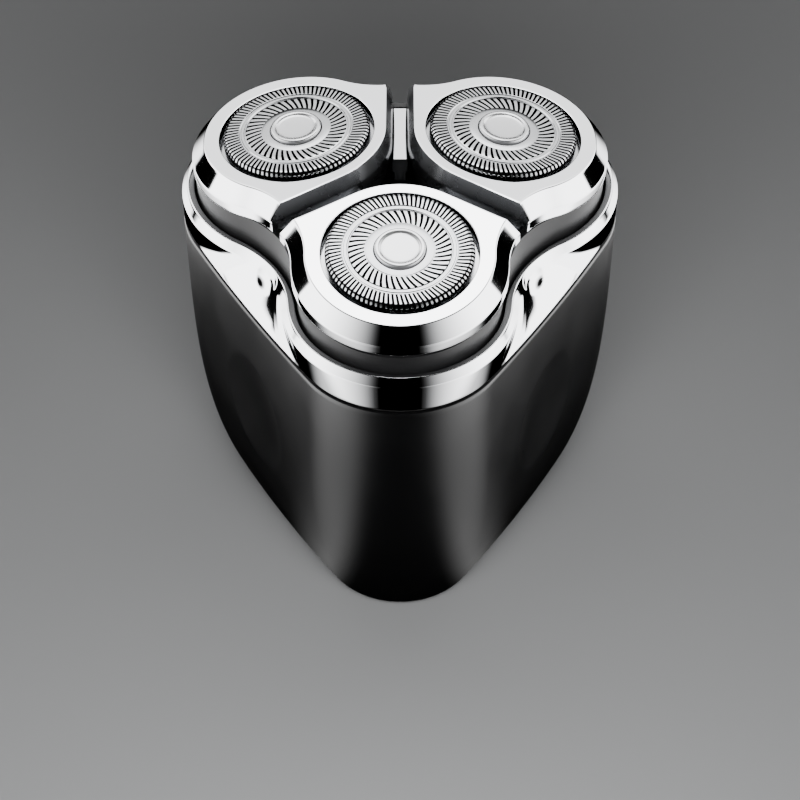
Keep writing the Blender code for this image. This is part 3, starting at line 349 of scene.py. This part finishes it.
def node(tree, kind, links=(), **settings):
    """Adds a node. Settings name its properties or its sockets; links pair a socket with an output."""
    made = tree.nodes.new(kind)
    for name, value in settings.items():
        if hasattr(made, name):
            setattr(made, name, value)
        else:
            made.inputs[name.replace("_", " ")].default_value = value
    for socket, source in dict(links).items():
        tree.links.new(source, made.inputs[socket])
    return made


def material(name, base, roughness, metallic=0.0, spread=0.0, grain=None, spots=None, **sockets):
    """A finish of the Principled shader. Further settings name its sockets.

    spread is how far the roughness wanders over a few millimetres. grain is (size in mm, strength,
    height in mm) of a fine relief's noise. spots is a second colour that mottles the base.
    """
    made = bpy.data.materials.new(name)
    made.use_nodes = True
    made.diffuse_color = colour(base)
    tree = made.node_tree
    shader = tree.nodes["Principled BSDF"]
    shader.inputs["Base Color"].default_value = colour(base)
    shader.inputs["Roughness"].default_value = roughness
    shader.inputs["Metallic"].default_value = metallic
    for socket, value in sockets.items():
        shader.inputs[socket.replace("_", " ")].default_value = value
    place = node(tree, "ShaderNodeTexCoord").outputs["Object"]
    if spread:
        cloud = node(tree, "ShaderNodeTexNoise", {"Vector": place}, Scale=160.0, Detail=4.0)
        # limits much closer than these clip the noise, which shows as smudges
        wander = node(
            tree, "ShaderNodeMapRange", {"Value": cloud.outputs["Fac"]}, From_Min=0.2, From_Max=0.8,
            To_Min=max(0.02, roughness - spread), To_Max=roughness + spread,
        )
        tree.links.new(wander.outputs["Result"], shader.inputs["Roughness"])
    if spots:
        cloud = node(tree, "ShaderNodeTexNoise", {"Vector": place}, Scale=90.0, Detail=3.0)
        mixed = node(tree, "ShaderNodeMix", {"Factor": cloud.outputs["Fac"]}, data_type="RGBA")
        mixed.inputs["A"].default_value = colour(base)
        mixed.inputs["B"].default_value = colour(spots)
        tree.links.new(mixed.outputs["Result"], shader.inputs["Base Color"])
    if grain:
        size, strength, height = grain
        relief = node(tree, "ShaderNodeTexNoise", {"Vector": place}, Scale=1 / (size * MM), Detail=2.0)
        bump = node(
            tree, "ShaderNodeBump", {"Height": relief.outputs["Fac"]},
            Strength=strength, Distance=height * MM,
        )
        tree.links.new(bump.outputs["Normal"], shader.inputs["Normal"])
    return made


# Bright chromium plate on moulded ABS: a mirror, with the faintest haze from polishing.
CHROME = material("polished chrome plate", "#e9eaec", 0.045, 1.0, spread=0.012)
# The same plate on the faces down in the gaps. It is rougher, and its darker colour is painted shade between the
# plates: a dull, darker sheen.
GAP_CHROME_SHADED = material("gap chrome with painted shade", "#77787a", 0.28, 1.0, spread=0.05)
# Stamped nickel steel, ground bright on top, so it is a little softer than the plate round it.
GUARD_STEEL = material("ground guard steel", "#aaabad", 0.16, 1.0, spread=0.04, grain=(0.25, 0.12, 0.02))
# Painted shade: the slots' floors and walls, and the wall of the plate's round hole, are coloured near black and
# reflect nothing. This stands for the unlit space over the cutter.
SLOT_PAINTED_SHADE = material("painted slot shade", "#030303", 0.9, spread=0.05, Specular_IOR_Level=0.0)
# Pearl lacquer over a pressed disc, under a clear coat: a soft glow with a sharp highlight on top.
PEARL = material(
    "pearl lacquer", "#c9cacb", 0.24, 0.7, spread=0.04, spots="#d2d2d4", Coat_Weight=0.6, Coat_Roughness=0.08,
)
# Soft-touch black ABS: satin, with a fine spark-eroded grain.
SOFT_BLACK = material(
    "satin black ABS", "#0c0c0d", 0.30, spread=0.03, grain=(0.18, 0.10, 0.01), spots="#0e0e0f",
)
# Moulded grey-black ABS with a fine eroded texture, duller than the body.
HOLDER_GREY = material(
    "satin grey ABS", "#242425", 0.44, spread=0.04, grain=(0.15, 0.15, 0.01), spots="#202021",
    Specular_IOR_Level=0.30,
)
# Moulded nylon of the chassis and deck, left as it leaves the mould: matt and slightly grainy.
INNER_BLACK = material(
    "matt black nylon", "#111112", 0.55, spread=0.05, grain=(0.3, 0.2, 0.02), spots="#151516",
)
# Moulded grey ABS of the parts that nobody sees: an even half-matt.
INNER_GREY = material(
    "moulded grey ABS", "#8b8c8e", 0.5, spread=0.05, grain=(0.3, 0.2, 0.02), spots="#939496",
)
# Gears moulded in acetal: waxy white, and light goes a little way in.
ACETAL = material(
    "white acetal", "#e6e5de", 0.38, spread=0.05, grain=(0.3, 0.1, 0.02), spots="#dddcd4",
    Subsurface_Weight=0.1,
)
# Steel and brass from the lathe, with fine tool marks that blur what they mirror.
TURNED_STEEL = material("turned steel", "#b9babd", 0.28, 1.0, spread=0.07, grain=(0.12, 0.15, 0.01))
BRASS = material("turned brass", "#c9a35a", 0.3, 1.0, spread=0.07, grain=(0.12, 0.15, 0.01))
# Moulded nitrile rubber: matt black with a bloom.
RUBBER = material(
    "black nitrile rubber", "#0d0d0d", 0.75, spread=0.06, grain=(0.2, 0.25, 0.02), spots="#121212",
)
# The cell's plain sleeve, shrunk on with heat: glossy, with slow ripples.
CELL_WRAP = material(
    "blue heat-shrink sleeve", "#1d4f9a", 0.32, spread=0.05, grain=(0.8, 0.1, 0.03), spots="#20559f",
)
# Green solder mask over the copper, which shows as an uneven gloss.
BOARD = material(
    "green solder mask", "#12512a", 0.35, spread=0.08, grain=(0.5, 0.3, 0.03), spots="#17602f",
)
# Moulded polycarbonate, frosted so that it glows evenly.
LIGHT_GUIDE = material(
    "frosted polycarbonate", "#dfe6ea", 0.35, spread=0.05, grain=(0.2, 0.1, 0.01), Transmission_Weight=0.4,
)

SLOT_LOOKS = {
    "chrome_trim": CHROME, "cutting_steel": GUARD_STEEL, "pearl_cap": PEARL, "body_black": SOFT_BLACK,
    "holder_dark": HOLDER_GREY, "inner_black": INNER_BLACK, "inner_grey": INNER_GREY, "gear_white": ACETAL,
    "machined_steel": TURNED_STEEL, "bush_brass": BRASS, "seal_rubber": RUBBER, "cell_wrap": CELL_WRAP,
    "board_green": BOARD, "light_clear": LIGHT_GUIDE,
}


def dress_frame():
    """Gives every CAD node the finish of its material slot."""
    for entry in frame["record"]["subparts"]:
        obj = frame["nodes"][entry["node"]]
        obj.data.materials.clear()
        obj.data.materials.append(SLOT_LOOKS[entry["material_slot"]])


# The body


def body_outline(height, inset):
    """The body's section at a height, drawn in by inset all round.

    The lobes' centres draw in evenly towards the base, and their radius shrinks by a power of the
    depth. Each flank has an oval dimple.

    A dimple's depth is 1 - r^2 times its full depth, where r is the distance from its centre,
    measured in its half width and half height.
    """
    share = (BODY_TOP - height) / BODY_TOP
    centre = FOOT_CENTRE - TAPER_SHIFT * share
    radius = FOOT_RADIUS - TAPER_RADIUS * share**TAPER_POWER
    outline = lobed(centre, radius - inset, centre / 2 + radius + FLANK_BULGE - inset)
    width, tall = DIMPLE_SIZE
    for degrees in VALLEY_AZIMUTH.values():
        normal, across = plane_turn(degrees).T
        distance = (2 * outline @ across / width) ** 2 + (2 * (height - DIMPLE_Z) / tall) ** 2
        depth = DIMPLE_DEPTH * np.clip(1 - distance, 0, 1) * (outline @ normal > 0)
        outline = outline - depth[:, None] * normal
    return outline


def body_shell():
    """Outer wall, base fillet, flat base, and the inner wall back up to the rim, with three openings."""
    angles = np.linspace(0, math.pi / 2, 9)
    heights = np.linspace(BODY_TOP - RIM_ROUND, BASE_FILLET, 72)
    outer = [(BODY_TOP, RIM_ROUND), (BODY_TOP - RIM_ROUND_MIDDLE, RIM_ROUND_MIDDLE)]
    outer += [(height, 0.0) for height in heights[:-1]]
    outer += [(BASE_FILLET * (1 - math.sin(angle)), BASE_FILLET * (1 - math.cos(angle))) for angle in angles]
    rows = [raised(body_outline(height, inset), height) for height, inset in outer]
    base = rows[-1]
    rows += [base * (share, share, 1) for share in (0.6, 0.0)]
    low = raised(body_outline(SHELL_WALL, SHELL_WALL), SHELL_WALL)
    rows += [low * (share, share, 1) for share in (0.0, 0.7, 1.0)]
    inner_heights = np.linspace(SHELL_WALL, BODY_TOP, 16)[1:]
    rows += [raised(body_outline(height, SHELL_WALL), height) for height in inner_heights]
    shell = piece("body_skin", np.array(rows), [SOFT_BLACK], "body", "body_shell")
    button_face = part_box("power_button")[1][1]
    bore("button_bore", shell, (0, button_face, DIMPLE_Z), BUTTON_RADIUS + BUTTON_CLEARANCE)
    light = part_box("light_guide")
    spot = (0, light[1][1], (light[0][2] + light[1][2]) / 2)
    bore("light_bore", shell, spot, (light[1][0] - light[0][0]) / 2 + LIGHT_CLEARANCE)
    port_cut(shell, np.array(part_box("charging_socket")))


def cut_away(obj, name, points):
    """Cuts the piece with a hidden tool made from a grid, at once, so that nothing live is left on it."""
    mesh = grid_mesh(name, points)
    weld(mesh)
    tool = placed(name, mesh)
    cut = obj.modifiers.new(name, "BOOLEAN")
    cut.operation = "DIFFERENCE"
    cut.solver = "EXACT"
    cut.object = tool
    bpy.context.view_layer.objects.active = obj
    with bpy.context.temp_override(object=obj, active_object=obj, selected_objects=[obj]):
        bpy.ops.object.modifier_apply(modifier=name)
    bpy.data.objects.remove(tool, do_unlink=True)
    shade(obj.data)


def bore(name, obj, centre, radius):
    """A round hole along Y, by a cylinder that reaches past the wall on both sides of the centre."""
    profile = [(0, -BORE_REACH), (radius, -BORE_REACH), (radius, BORE_REACH), (0, BORE_REACH)]
    cut_away(obj, name, swept(profile, 64)[..., [0, 2, 1]] + np.array(centre))


def port_cut(obj, socket):
    """The socket's opening in the base: two half circles joined by straights, a little larger than it."""
    centre = socket.mean(0)
    half = (socket[1] - socket[0]) / 2 + PORT_CLEARANCE
    run = half[0] - half[1]
    quarter = math.pi / 2
    right_end = arc((run, 0), half[1], -quarter, quarter, 16)
    left_end = arc((-run, 0), half[1], quarter, 3 * quarter, 16)
    outline = np.concatenate([right_end, left_end]) + centre[:2]
    middle = np.broadcast_to(centre[:2], outline.shape)
    low, high = -PORT_PAST_BASE, SHELL_WALL + PORT_PAST_BASE
    stations = ((middle, low), (outline, low), (outline, high), (middle, high))
    cut_away(obj, "port_bore", np.array([raised(shape, height) for shape, height in stations]))


def bezel():
    """The ring's outline widens from the lip to a crease and changes to the body's outline at the foot.

    In the valleys the wall is a web that slopes outwards. A notch is scooped square to each web. Its
    depth is 1 - r^2 times its full depth, where r is the distance from the notch's centre measured in
    its half width and half height.
    """
    foot_flank = FOOT_CENTRE / 2 + FOOT_RADIUS + FLANK_BULGE
    foot_inside = (FOOT_CENTRE, FOOT_RADIUS - BEZEL_WALL, foot_flank - BEZEL_WALL)
    lip_inside = (OFFSET, HOLDER_RADIUS + LIP_CLEARANCE, HOLDER_VALLEY + LIP_CLEARANCE)
    # height, lobe centre, lobe radius, valley
    stations = np.array([
        (LIP_TOP - LIP_SLOPE, *lip_inside),
        (LIP_TOP, OFFSET, LIP_RADIUS, LIP_VALLEY),
        (LIP_TOP - CREASE_DROP, OFFSET, LIP_RADIUS + CREASE_OUT, LIP_VALLEY + CREASE_VALLEY_OUT),
        (FOOT, FOOT_CENTRE, FOOT_RADIUS, foot_flank),
        (FOOT, *foot_inside),
        (HOLDER_LOW, *foot_inside),
        (HOLDER_LOW, *lip_inside),
    ])
    stations = divided(rounded(stations, BEZEL_ARRIS, loop=True))
    rows = np.array([
        raised(lobed(centre, radius, valley, lobe_steps=30, flank_steps=40), height)
        for height, centre, radius, valley in stations
    ])
    slope = math.atan2(LIP_TOP - FOOT, foot_flank - LIP_VALLEY)
    for degrees in VALLEY_AZIMUTH.values():
        normal, across = plane_turn(degrees).T
        out, side = rows[..., :2] @ normal, rows[..., :2] @ across
        down = (LIP_TOP - rows[..., 2]) / math.sin(slope)
        bowl = 1 - (side / NOTCH_HALF_WIDTH) ** 2 - ((down - NOTCH_DOWN) / NOTCH_HALF_HEIGHT) ** 2
        on_web = (out > LIP_VALLEY - NOTCH_FROM_LIP) & (rows[..., 2] > FOOT + NOTCH_FROM_FOOT)
        depth = NOTCH_DEPTH * np.clip(bowl, 0, 1) * on_web
        rows[..., :2] -= (depth * math.sin(slope))[..., None] * normal
        rows[..., 2] -= depth * math.cos(slope)
    piece("bezel_skin", rows, [CHROME], "body", "bezel_ring", sharp=32)


def holder_band():
    """A smooth skin over the holder's wall: up the outside, over the sloping rim and down the inside.

    The rim's height falls from the middle outwards by the tangent of the heads' tilt.
    """
    low = HOLDER_LOW - BAND_SKIN
    rows = []
    outside, inside = -BAND_SKIN, HOLDER_WALL + BAND_SKIN
    for inset, share in ((outside, 0), (outside, 1), (inside, 1), (inside, 0)):
        outline = lobed(OFFSET, HOLDER_RADIUS - inset, HOLDER_VALLEY - inset)
        outwards = np.max([outline @ plane_turn(angle)[:, 0] for angle in LOBE_AZIMUTH.values()], axis=0)
        rim = TOP + BAND_SKIN - (outwards - OFFSET) * math.tan(TILT) - RIM_DEPTH / math.cos(TILT)
        rows.append(raised(outline, low + share * (rim - low)))
    piece("holder_band", np.array(rows), [HOLDER_GREY], "head")


def gap_trims():
    """A bar in each gap: a rectangle with rounded corners, swept outwards.

    Its top falls evenly to the outer end, and its width has a waist that follows half a sine wave.
    """
    for number, degrees in VALLEY_AZIMUTH.items():
        rows = []
        for distance in TRIM_STATIONS:
            share = (distance - TRIM_START) / (TRIM_END - TRIM_START)
            top = TOP - TRIM_DEPTH - TRIM_FALL * share
            wide = TRIM_HALF * (1.0 - TRIM_WAIST * math.sin(math.pi * share))
            corners = [(-wide, TRIM_LOW), (wide, TRIM_LOW), (wide, top), (-wide, top)]
            section = rounded(corners, TRIM_ARRIS, loop=True)
            rows.append([(distance, y, z) for y, z in section])
        rows = np.array(rows)
        poles = [np.broadcast_to(row.mean(0), row.shape)[None] for row in (rows[0], rows[-1])]
        rows = np.concatenate([poles[0], rows, poles[1]])
        rows[..., :2] = rows[..., :2] @ plane_turn(degrees).T
        name = f"gap_bar_{number}"
        piece(name, rows, [CHROME], "head", f"gap_trim_{number}", closed=False)


# The heads


def petal_outline(out):
    """A plate's outline, grown by out beyond its top edge, about its head's axis with +Y outwards.

    An arc about the axis runs into two hollow arcs centred two plate radii to each side. They end
    in corners on edges parallel to the gaps, and an arc about the axis joins the two edges.
    """
    sixty = math.radians(60)
    half_gap = HALF_GAP - out * GAP_BEVEL / SKIRT_OUT
    inner = OFFSET * math.sin(sixty) - half_gap
    flare = np.array([2 * PETAL_RADIUS, 0])
    flare_radius = PETAL_RADIUS - out
    touch = inner * np.array([0.5, -math.sin(sixty)])
    edge = np.array([math.sin(sixty), 0.5])
    across = touch - flare
    along = -across @ edge
    corner = touch + (along - math.sqrt(along**2 - across @ across + flare_radius**2)) * edge
    corner_angle = math.atan2(*(corner - flare)[::-1]) % (2 * math.pi)
    count = GAP_COLUMNS // 2
    straight = touch + np.linspace(0, 1, count, endpoint=False)[:, None] * (corner - touch)
    half = np.concatenate([
        arc((0, 0), inner, -math.pi / 2, -math.pi / 3, count),
        straight,
        arc(flare, flare_radius, corner_angle, math.pi, 18),
        arc((0, 0), PETAL_RADIUS + out, 0, math.pi / 2, 42),
        [(0, PETAL_RADIUS + out)],
    ])
    return np.concatenate([half, half[1:-1][::-1] * (-1, 1)])


def petal_plate(head):
    """The plate: flat from its round hole to its edge, then a bevel and a skirt, and hollow beneath.

    The profile's numbers are the distance outwards from the plate's edge and the depth below its top.
    A row inside the edge lies on the straight lines from the hole's circle to the edge, at the share
    of the way that its distance gives.
    """
    land = PETAL_RADIUS - PLATE_HOLE
    wall = SKIRT_OUT - SKIRT_WALL
    profile = [
        (-land, PLATE_THICK), (-land, 0), (0, 0), (SKIRT_OUT, BEVEL_DEPTH), (SKIRT_OUT, SKIRT_DEPTH),
        (wall, SKIRT_DEPTH), (wall, BEVEL_DEPTH + HOLLOW_EXTRA), (0, PLATE_THICK),
    ]
    profile = divided(rounded(profile, PLATE_ARRIS, 6, loop=True))
    rows = []
    for out, depth in profile:
        outline = petal_outline(max(out, 0))
        if out < 0:
            circle = PLATE_HOLE * outline / np.linalg.norm(outline, axis=1, keepdims=True)
            outline = circle + (1 + out / land) * (outline - circle)
        rows.append(raised(outline, PIVOT_DEPTH - depth))
    rows = np.array(rows)
    # Painted shade: the bevel and skirt on the gap sides take the darkened gap chrome.
    column = np.arange(rows.shape[1])
    gap_side = (column < GAP_COLUMNS) | (column >= len(column) - GAP_COLUMNS)
    in_gap = gap_side & (profile[:, :1] > BEVEL_STARTS)
    # Painted shade: the wall of the round hole takes the near-black slot finish.
    in_hole = np.linalg.norm(rows[..., :2], axis=2) < PLATE_HOLE + HOLE_EDGE
    piece(
        f"petal_{head}", on_head(rows, head), [CHROME, GAP_CHROME_SHADED, SLOT_PAINTED_SHADE], f"petal_{head}",
        f"petal_plate_{head}", sharp=28, which=np.where(in_hole, 2, in_gap),
    )


def guard(head):
    """The slotted guard: a turned profile on a grid whose columns follow the slots.

    A column's angle is its share of the turn and a sweep that grows with the radius. An inner slot
    takes the room of two outer ones. Inside a zone of slots, the columns between two bars drop to the
    slot's floor, which turns from downwards to inwards over the rounded shoulder.
    """
    # radius and height above the plate, in mm, and zone: 0 solid, 1 inner slots, 2 outer slots
    rows = np.array([
        # the edge round the cap and the inner slots
        (3.9, 0.3, 0), (3.9, 0.72, 0), (3.98, 0.8, 0), (5.0, 0.8, 0), (5.1, 0.76, 0), (5.22, 0.74, 0),
        (5.26, 0.74, 1), (6.0, 0.74, 1), (6.8, 0.74, 1), (7.5, 0.74, 1), (7.58, 0.72, 1), (7.62, 0.70, 0),
        # the raised ring between the slots
        (7.7, 0.66, 0), (7.8, 0.66, 0), (7.9, 0.82, 0), (8.1, 0.84, 0), (8.25, 0.82, 0), (8.35, 0.68, 0),
        (8.5, 0.68, 0), (8.6, 0.78, 0), (8.66, 0.8, 0),
        # the outer slots, over the shoulder and down the side
        (8.7, 0.8, 2), (9.3, 0.8, 2), (9.9, 0.8, 2), (10.35, 0.8, 2), (10.6, 0.74, 2), (10.82, 0.58, 2),
        (10.97, 0.34, 2), (11.03, 0.05, 2), (11.05, -0.1, 2), (11.05, -0.13, 0),
        # the rim under the plate and the inside
        (11.05, -1.5, 0), (12.05, -1.5, 0), (12.05, -1.8, 0), (10.75, -1.8, 0), (10.75, 0.1, 0),
        (10.2, 0.3, 0),
    ])
    radius, height, zone = (rows * (MM, MM, 1)).T[..., None]
    # in a step: the bar starts, its wall, the slot's floor, the far wall, the next bar
    parts = np.array([0, 0.22, 0.26, 0.74, 0.78])
    step = (np.arange(OUTER_SLOTS)[:, None] + parts).ravel()
    cycle = step % 2
    inner_floor = (cycle > 0.76) & (cycle < 1.24)
    outer_floor = (step % 1 > 0.24) & (step % 1 < 0.76)
    deep = ((zone == 1) & inner_floor) | ((zone == 2) & outer_floor)
    inner_step = step - cycle + np.interp(cycle, *INNER_SLOT_PLACES)
    step = np.where(radius < INNER_SLOTS_END, inner_step, step)
    angle = 2 * math.pi * step / OUTER_SLOTS + np.interp(radius, *SLOT_SWEEP)
    sunk = SLOT_DEPTH * deep
    side = np.clip((radius - SHOULDER_START) / SHOULDER_WIDTH, 0, 1)
    reach = radius - sunk * side
    level = PIVOT_DEPTH + height - sunk * (1 - 0.8 * side)
    points = np.stack([reach * np.cos(angle), reach * np.sin(angle), level], -1)
    # Painted shade: faces that touch a slot's floor take the near-black slot finish.
    ahead = np.roll(deep, -1, 1)
    dark = deep | ahead | np.roll(deep, -1, 0) | np.roll(ahead, -1, 0)
    piece(
        f"guard_{head}_face", on_head(points, head), [GUARD_STEEL, SLOT_PAINTED_SHADE], f"guard_{head}",
        f"foil_guard_{head}", which=dark, sharp=35,
    )


def guard_cap(head):
    """The cap at the guard's centre, turned from its profile: a shallow dish inside a raised round rim."""
    profile = np.array([
        (0, 0.36), (1.6, 0.37), (2.6, 0.39), (2.9, 0.45), (3.05, 0.57), (3.2, 0.64), (3.4, 0.67),
        (3.6, 0.63), (3.74, 0.54), (3.8, 0.38), (3.8, -0.5), (0, -0.5),
    ]) * MM
    profile[:, 1] += GUARD_RISE + PIVOT_DEPTH - CAP_SUNK
    points = on_head(swept(rounded(profile, CAP_ARRIS, 4), 72), head)
    piece(
        f"guard_{head}_cap", points, [PEARL], f"guard_{head}", f"foil_cap_{head}",
        closed=False,
    )


def power_button():
    """A cap turned about Y, with its stem behind: a bright rim round a shallow satin dish."""
    low, high = (np.array(corner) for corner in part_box("power_button"))
    centre = (low + high) / 2
    face, back = high[1], low[1]
    dish, rim, under = face - BUTTON_DISH, face - BUTTON_RIM_DROP, face - BUTTON_HEAD
    radius = BUTTON_RADIUS
    profile = [
        (0, dish), (radius * 0.72, dish), (radius * 0.8, face - BUTTON_STEP), (radius * 0.86, face),
        (radius * 0.94, face), (radius, rim), (radius, under), (BUTTON_STEM, under), (BUTTON_STEM, back),
        (0, back),
    ]
    profile = rounded(profile, BUTTON_ARRIS, 4)
    points = swept(profile, 72)[..., [0, 2, 1]] + np.array([centre[0], 0, centre[2]])
    which = np.zeros((len(profile) - 1, 72), int)
    which[: len(profile) // 5] = 1
    piece(
        "power_button_cap", points, [CHROME, SOFT_BLACK], "button", "power_button",
        which=which, closed=False,
    )


# Studio


def camera():
    """Looks down at the heads from in front, with a long lens."""
    data = bpy.data.cameras.new("camera")
    data.sensor_width = 36
    data.lens = CAMERA_LENS
    data.clip_start = 0.05
    made = placed("camera", data)
    rise = CAMERA_RISE
    made.location = Vector((0, 0, TOP)) + CAMERA_REACH * Vector((0, -math.cos(rise), math.sin(rise)))
    made.rotation_euler = (math.pi / 2 - rise - CAMERA_DROP, 0, 0)
    bpy.context.scene.camera = made


def softbox(name, place, target, size, power):
    """An area light that faces a point. It lights the matt surfaces; the gloss sees the dome instead."""
    data = bpy.data.lights.new(name, "AREA")
    data.shape = "RECTANGLE"
    data.size, data.size_y = size
    data.energy = power
    made = placed(name, data)
    made.location = place
    made.rotation_euler = (Vector(target) - Vector(place)).to_track_quat("-Z", "Y").to_euler()
    made.visible_glossy = False


def reflector(name, points, level):
    """A glowing surface that only gloss can see, whose brightness is given at each of its points."""
    mesh = grid_mesh(name, points)
    glow_level = mesh.attributes.new("glow", "FLOAT", "POINT")
    glow_level.data.foreach_set("value", level.reshape(-1).astype(np.float32))
    finish = bpy.data.materials.new(name)
    finish.use_nodes = True
    tree = finish.node_tree
    tree.nodes.clear()
    read = node(tree, "ShaderNodeAttribute", attribute_name="glow")
    glow = node(tree, "ShaderNodeEmission", {"Strength": read.outputs["Fac"]})
    node(tree, "ShaderNodeOutputMaterial", {"Surface": glow.outputs[0]})
    mesh.materials.append(finish)
    made = placed(name, mesh)
    for way in ("camera", "diffuse", "shadow", "transmission", "volume_scatter"):
        setattr(made, f"visible_{way}", False)


def studio_dome():
    """What the gloss sees above the floor, by the turn from the front and the rise, both in degrees.

    A bright panel stands at each side. It brightens from the front round to the side, starts a little
    below the horizon in front and higher towards the back, and fades out overhead. A larger panel
    leans over from behind and is brightest high up. The rest is black.
    """
    turn, rise = np.meshgrid(np.arange(-180, 180, 2.0), np.arange(0, 90.5, 1.5))
    aside = abs(turn)
    foot = 15 * soft(aside, 100, 104) - 4
    side = soft(aside, 18, 85) * (1 - soft(aside, 138, 150))
    side *= soft(rise, foot - 1.5, foot + 1.5) * (1 - soft(rise, 30, 44))
    back = soft(aside, 128, 150) * soft(rise, 18, 26) * (2.4 + 6.0 * soft(rise, 34, 58))
    angle, height = np.radians(turn - 90), np.radians(rise)
    flat = np.cos(height)
    points = DOME_RADIUS * np.stack([flat * np.cos(angle), flat * np.sin(angle), np.sin(height)], -1)
    reflector("studio_dome", points, np.maximum(SIDE_GLOW * side, back))


def studio_floor_glow():
    """What the gloss sees in the floor, by the place on it.

    White lies at each side of a black strip that widens with the distance from the base. It is dim
    close to the base, where only the front half has it, and bright farther out. There it leaves out a
    patch at the sides near the base, and the sector behind.
    """
    turn = np.radians(np.arange(0, 360, 3.0))
    reach = np.concatenate([np.linspace(0, 0.16, 65), np.linspace(0.18, 1.5, 20)])
    turn, reach = np.meshgrid(turn, reach)
    x, y = reach * np.cos(turn), reach * np.sin(turn)
    aside = abs((np.degrees(turn) + 270) % 360 - 180)
    near = soft(abs(x), 0.32 * reach, 0.60 * reach) * (1 - soft(y, -34 * MM, -10 * MM))
    far = soft(abs(x), 0.26 * reach, 1.0 * reach) * (1 - soft(aside, 138, 150))
    far *= 1 - soft(aside, 101, 107) * soft(reach, 0.30, 0.38)
    far *= 1 - soft(y, -18 * MM, 2 * MM) * (1 - soft(reach, 0.080, 0.095))
    share = soft(reach, 0.064, 0.076)
    level = NEAR_GLOW * near * (1 - share) + FAR_GLOW * far * share
    reflector("studio_floor_glow", np.stack([x, y, np.full_like(x, FLOOR_GLOW_HEIGHT)], -1), level)


def paper_floor():
    """A wide flat sheet at the height of the base."""
    half = FLOOR_HALF
    corners = [(-half, -half), (half, -half), (half, half), (-half, half)]
    mesh = bpy.data.meshes.new("floor")
    mesh.from_pydata([(x, y, 0) for x, y in corners], [], [(0, 1, 2, 3)])
    # Uncoated seamless paper: quite matt, so it shows no reflections.
    paper = material("pale paper sweep", "#c9cacb", 0.9, spread=0.05, Specular_IOR_Level=0.0)
    mesh.materials.append(paper)
    placed("floor", mesh)


def studio():
    """A pale sweep under two soft lights, in a dark room, and what the gloss sees round it."""
    paper_floor()
    softbox("front_softbox", place=(0, -0.17, 0.15), target=(0, -0.09, 0), size=(0.14, 0.10), power=0.27)
    softbox("back_softbox", place=(0, 0.32, 0.65), target=(0, 0.05, 0), size=(0.9, 0.5), power=0.90)
    world = bpy.data.worlds.new("studio")
    bpy.context.scene.world = world
    world.use_nodes = True
    world.node_tree.nodes["Background"].inputs["Color"].default_value = (*[ROOM_LEVEL] * 3, 1)
    studio_dome()
    studio_floor_glow()


def main():
    camera()
    dress_frame()
    body_shell()
    bezel()
    holder_band()
    gap_trims()
    for head in HEADS:
        petal_plate(head)
        guard(head)
        guard_cap(head)
    power_button()
    studio()


main()
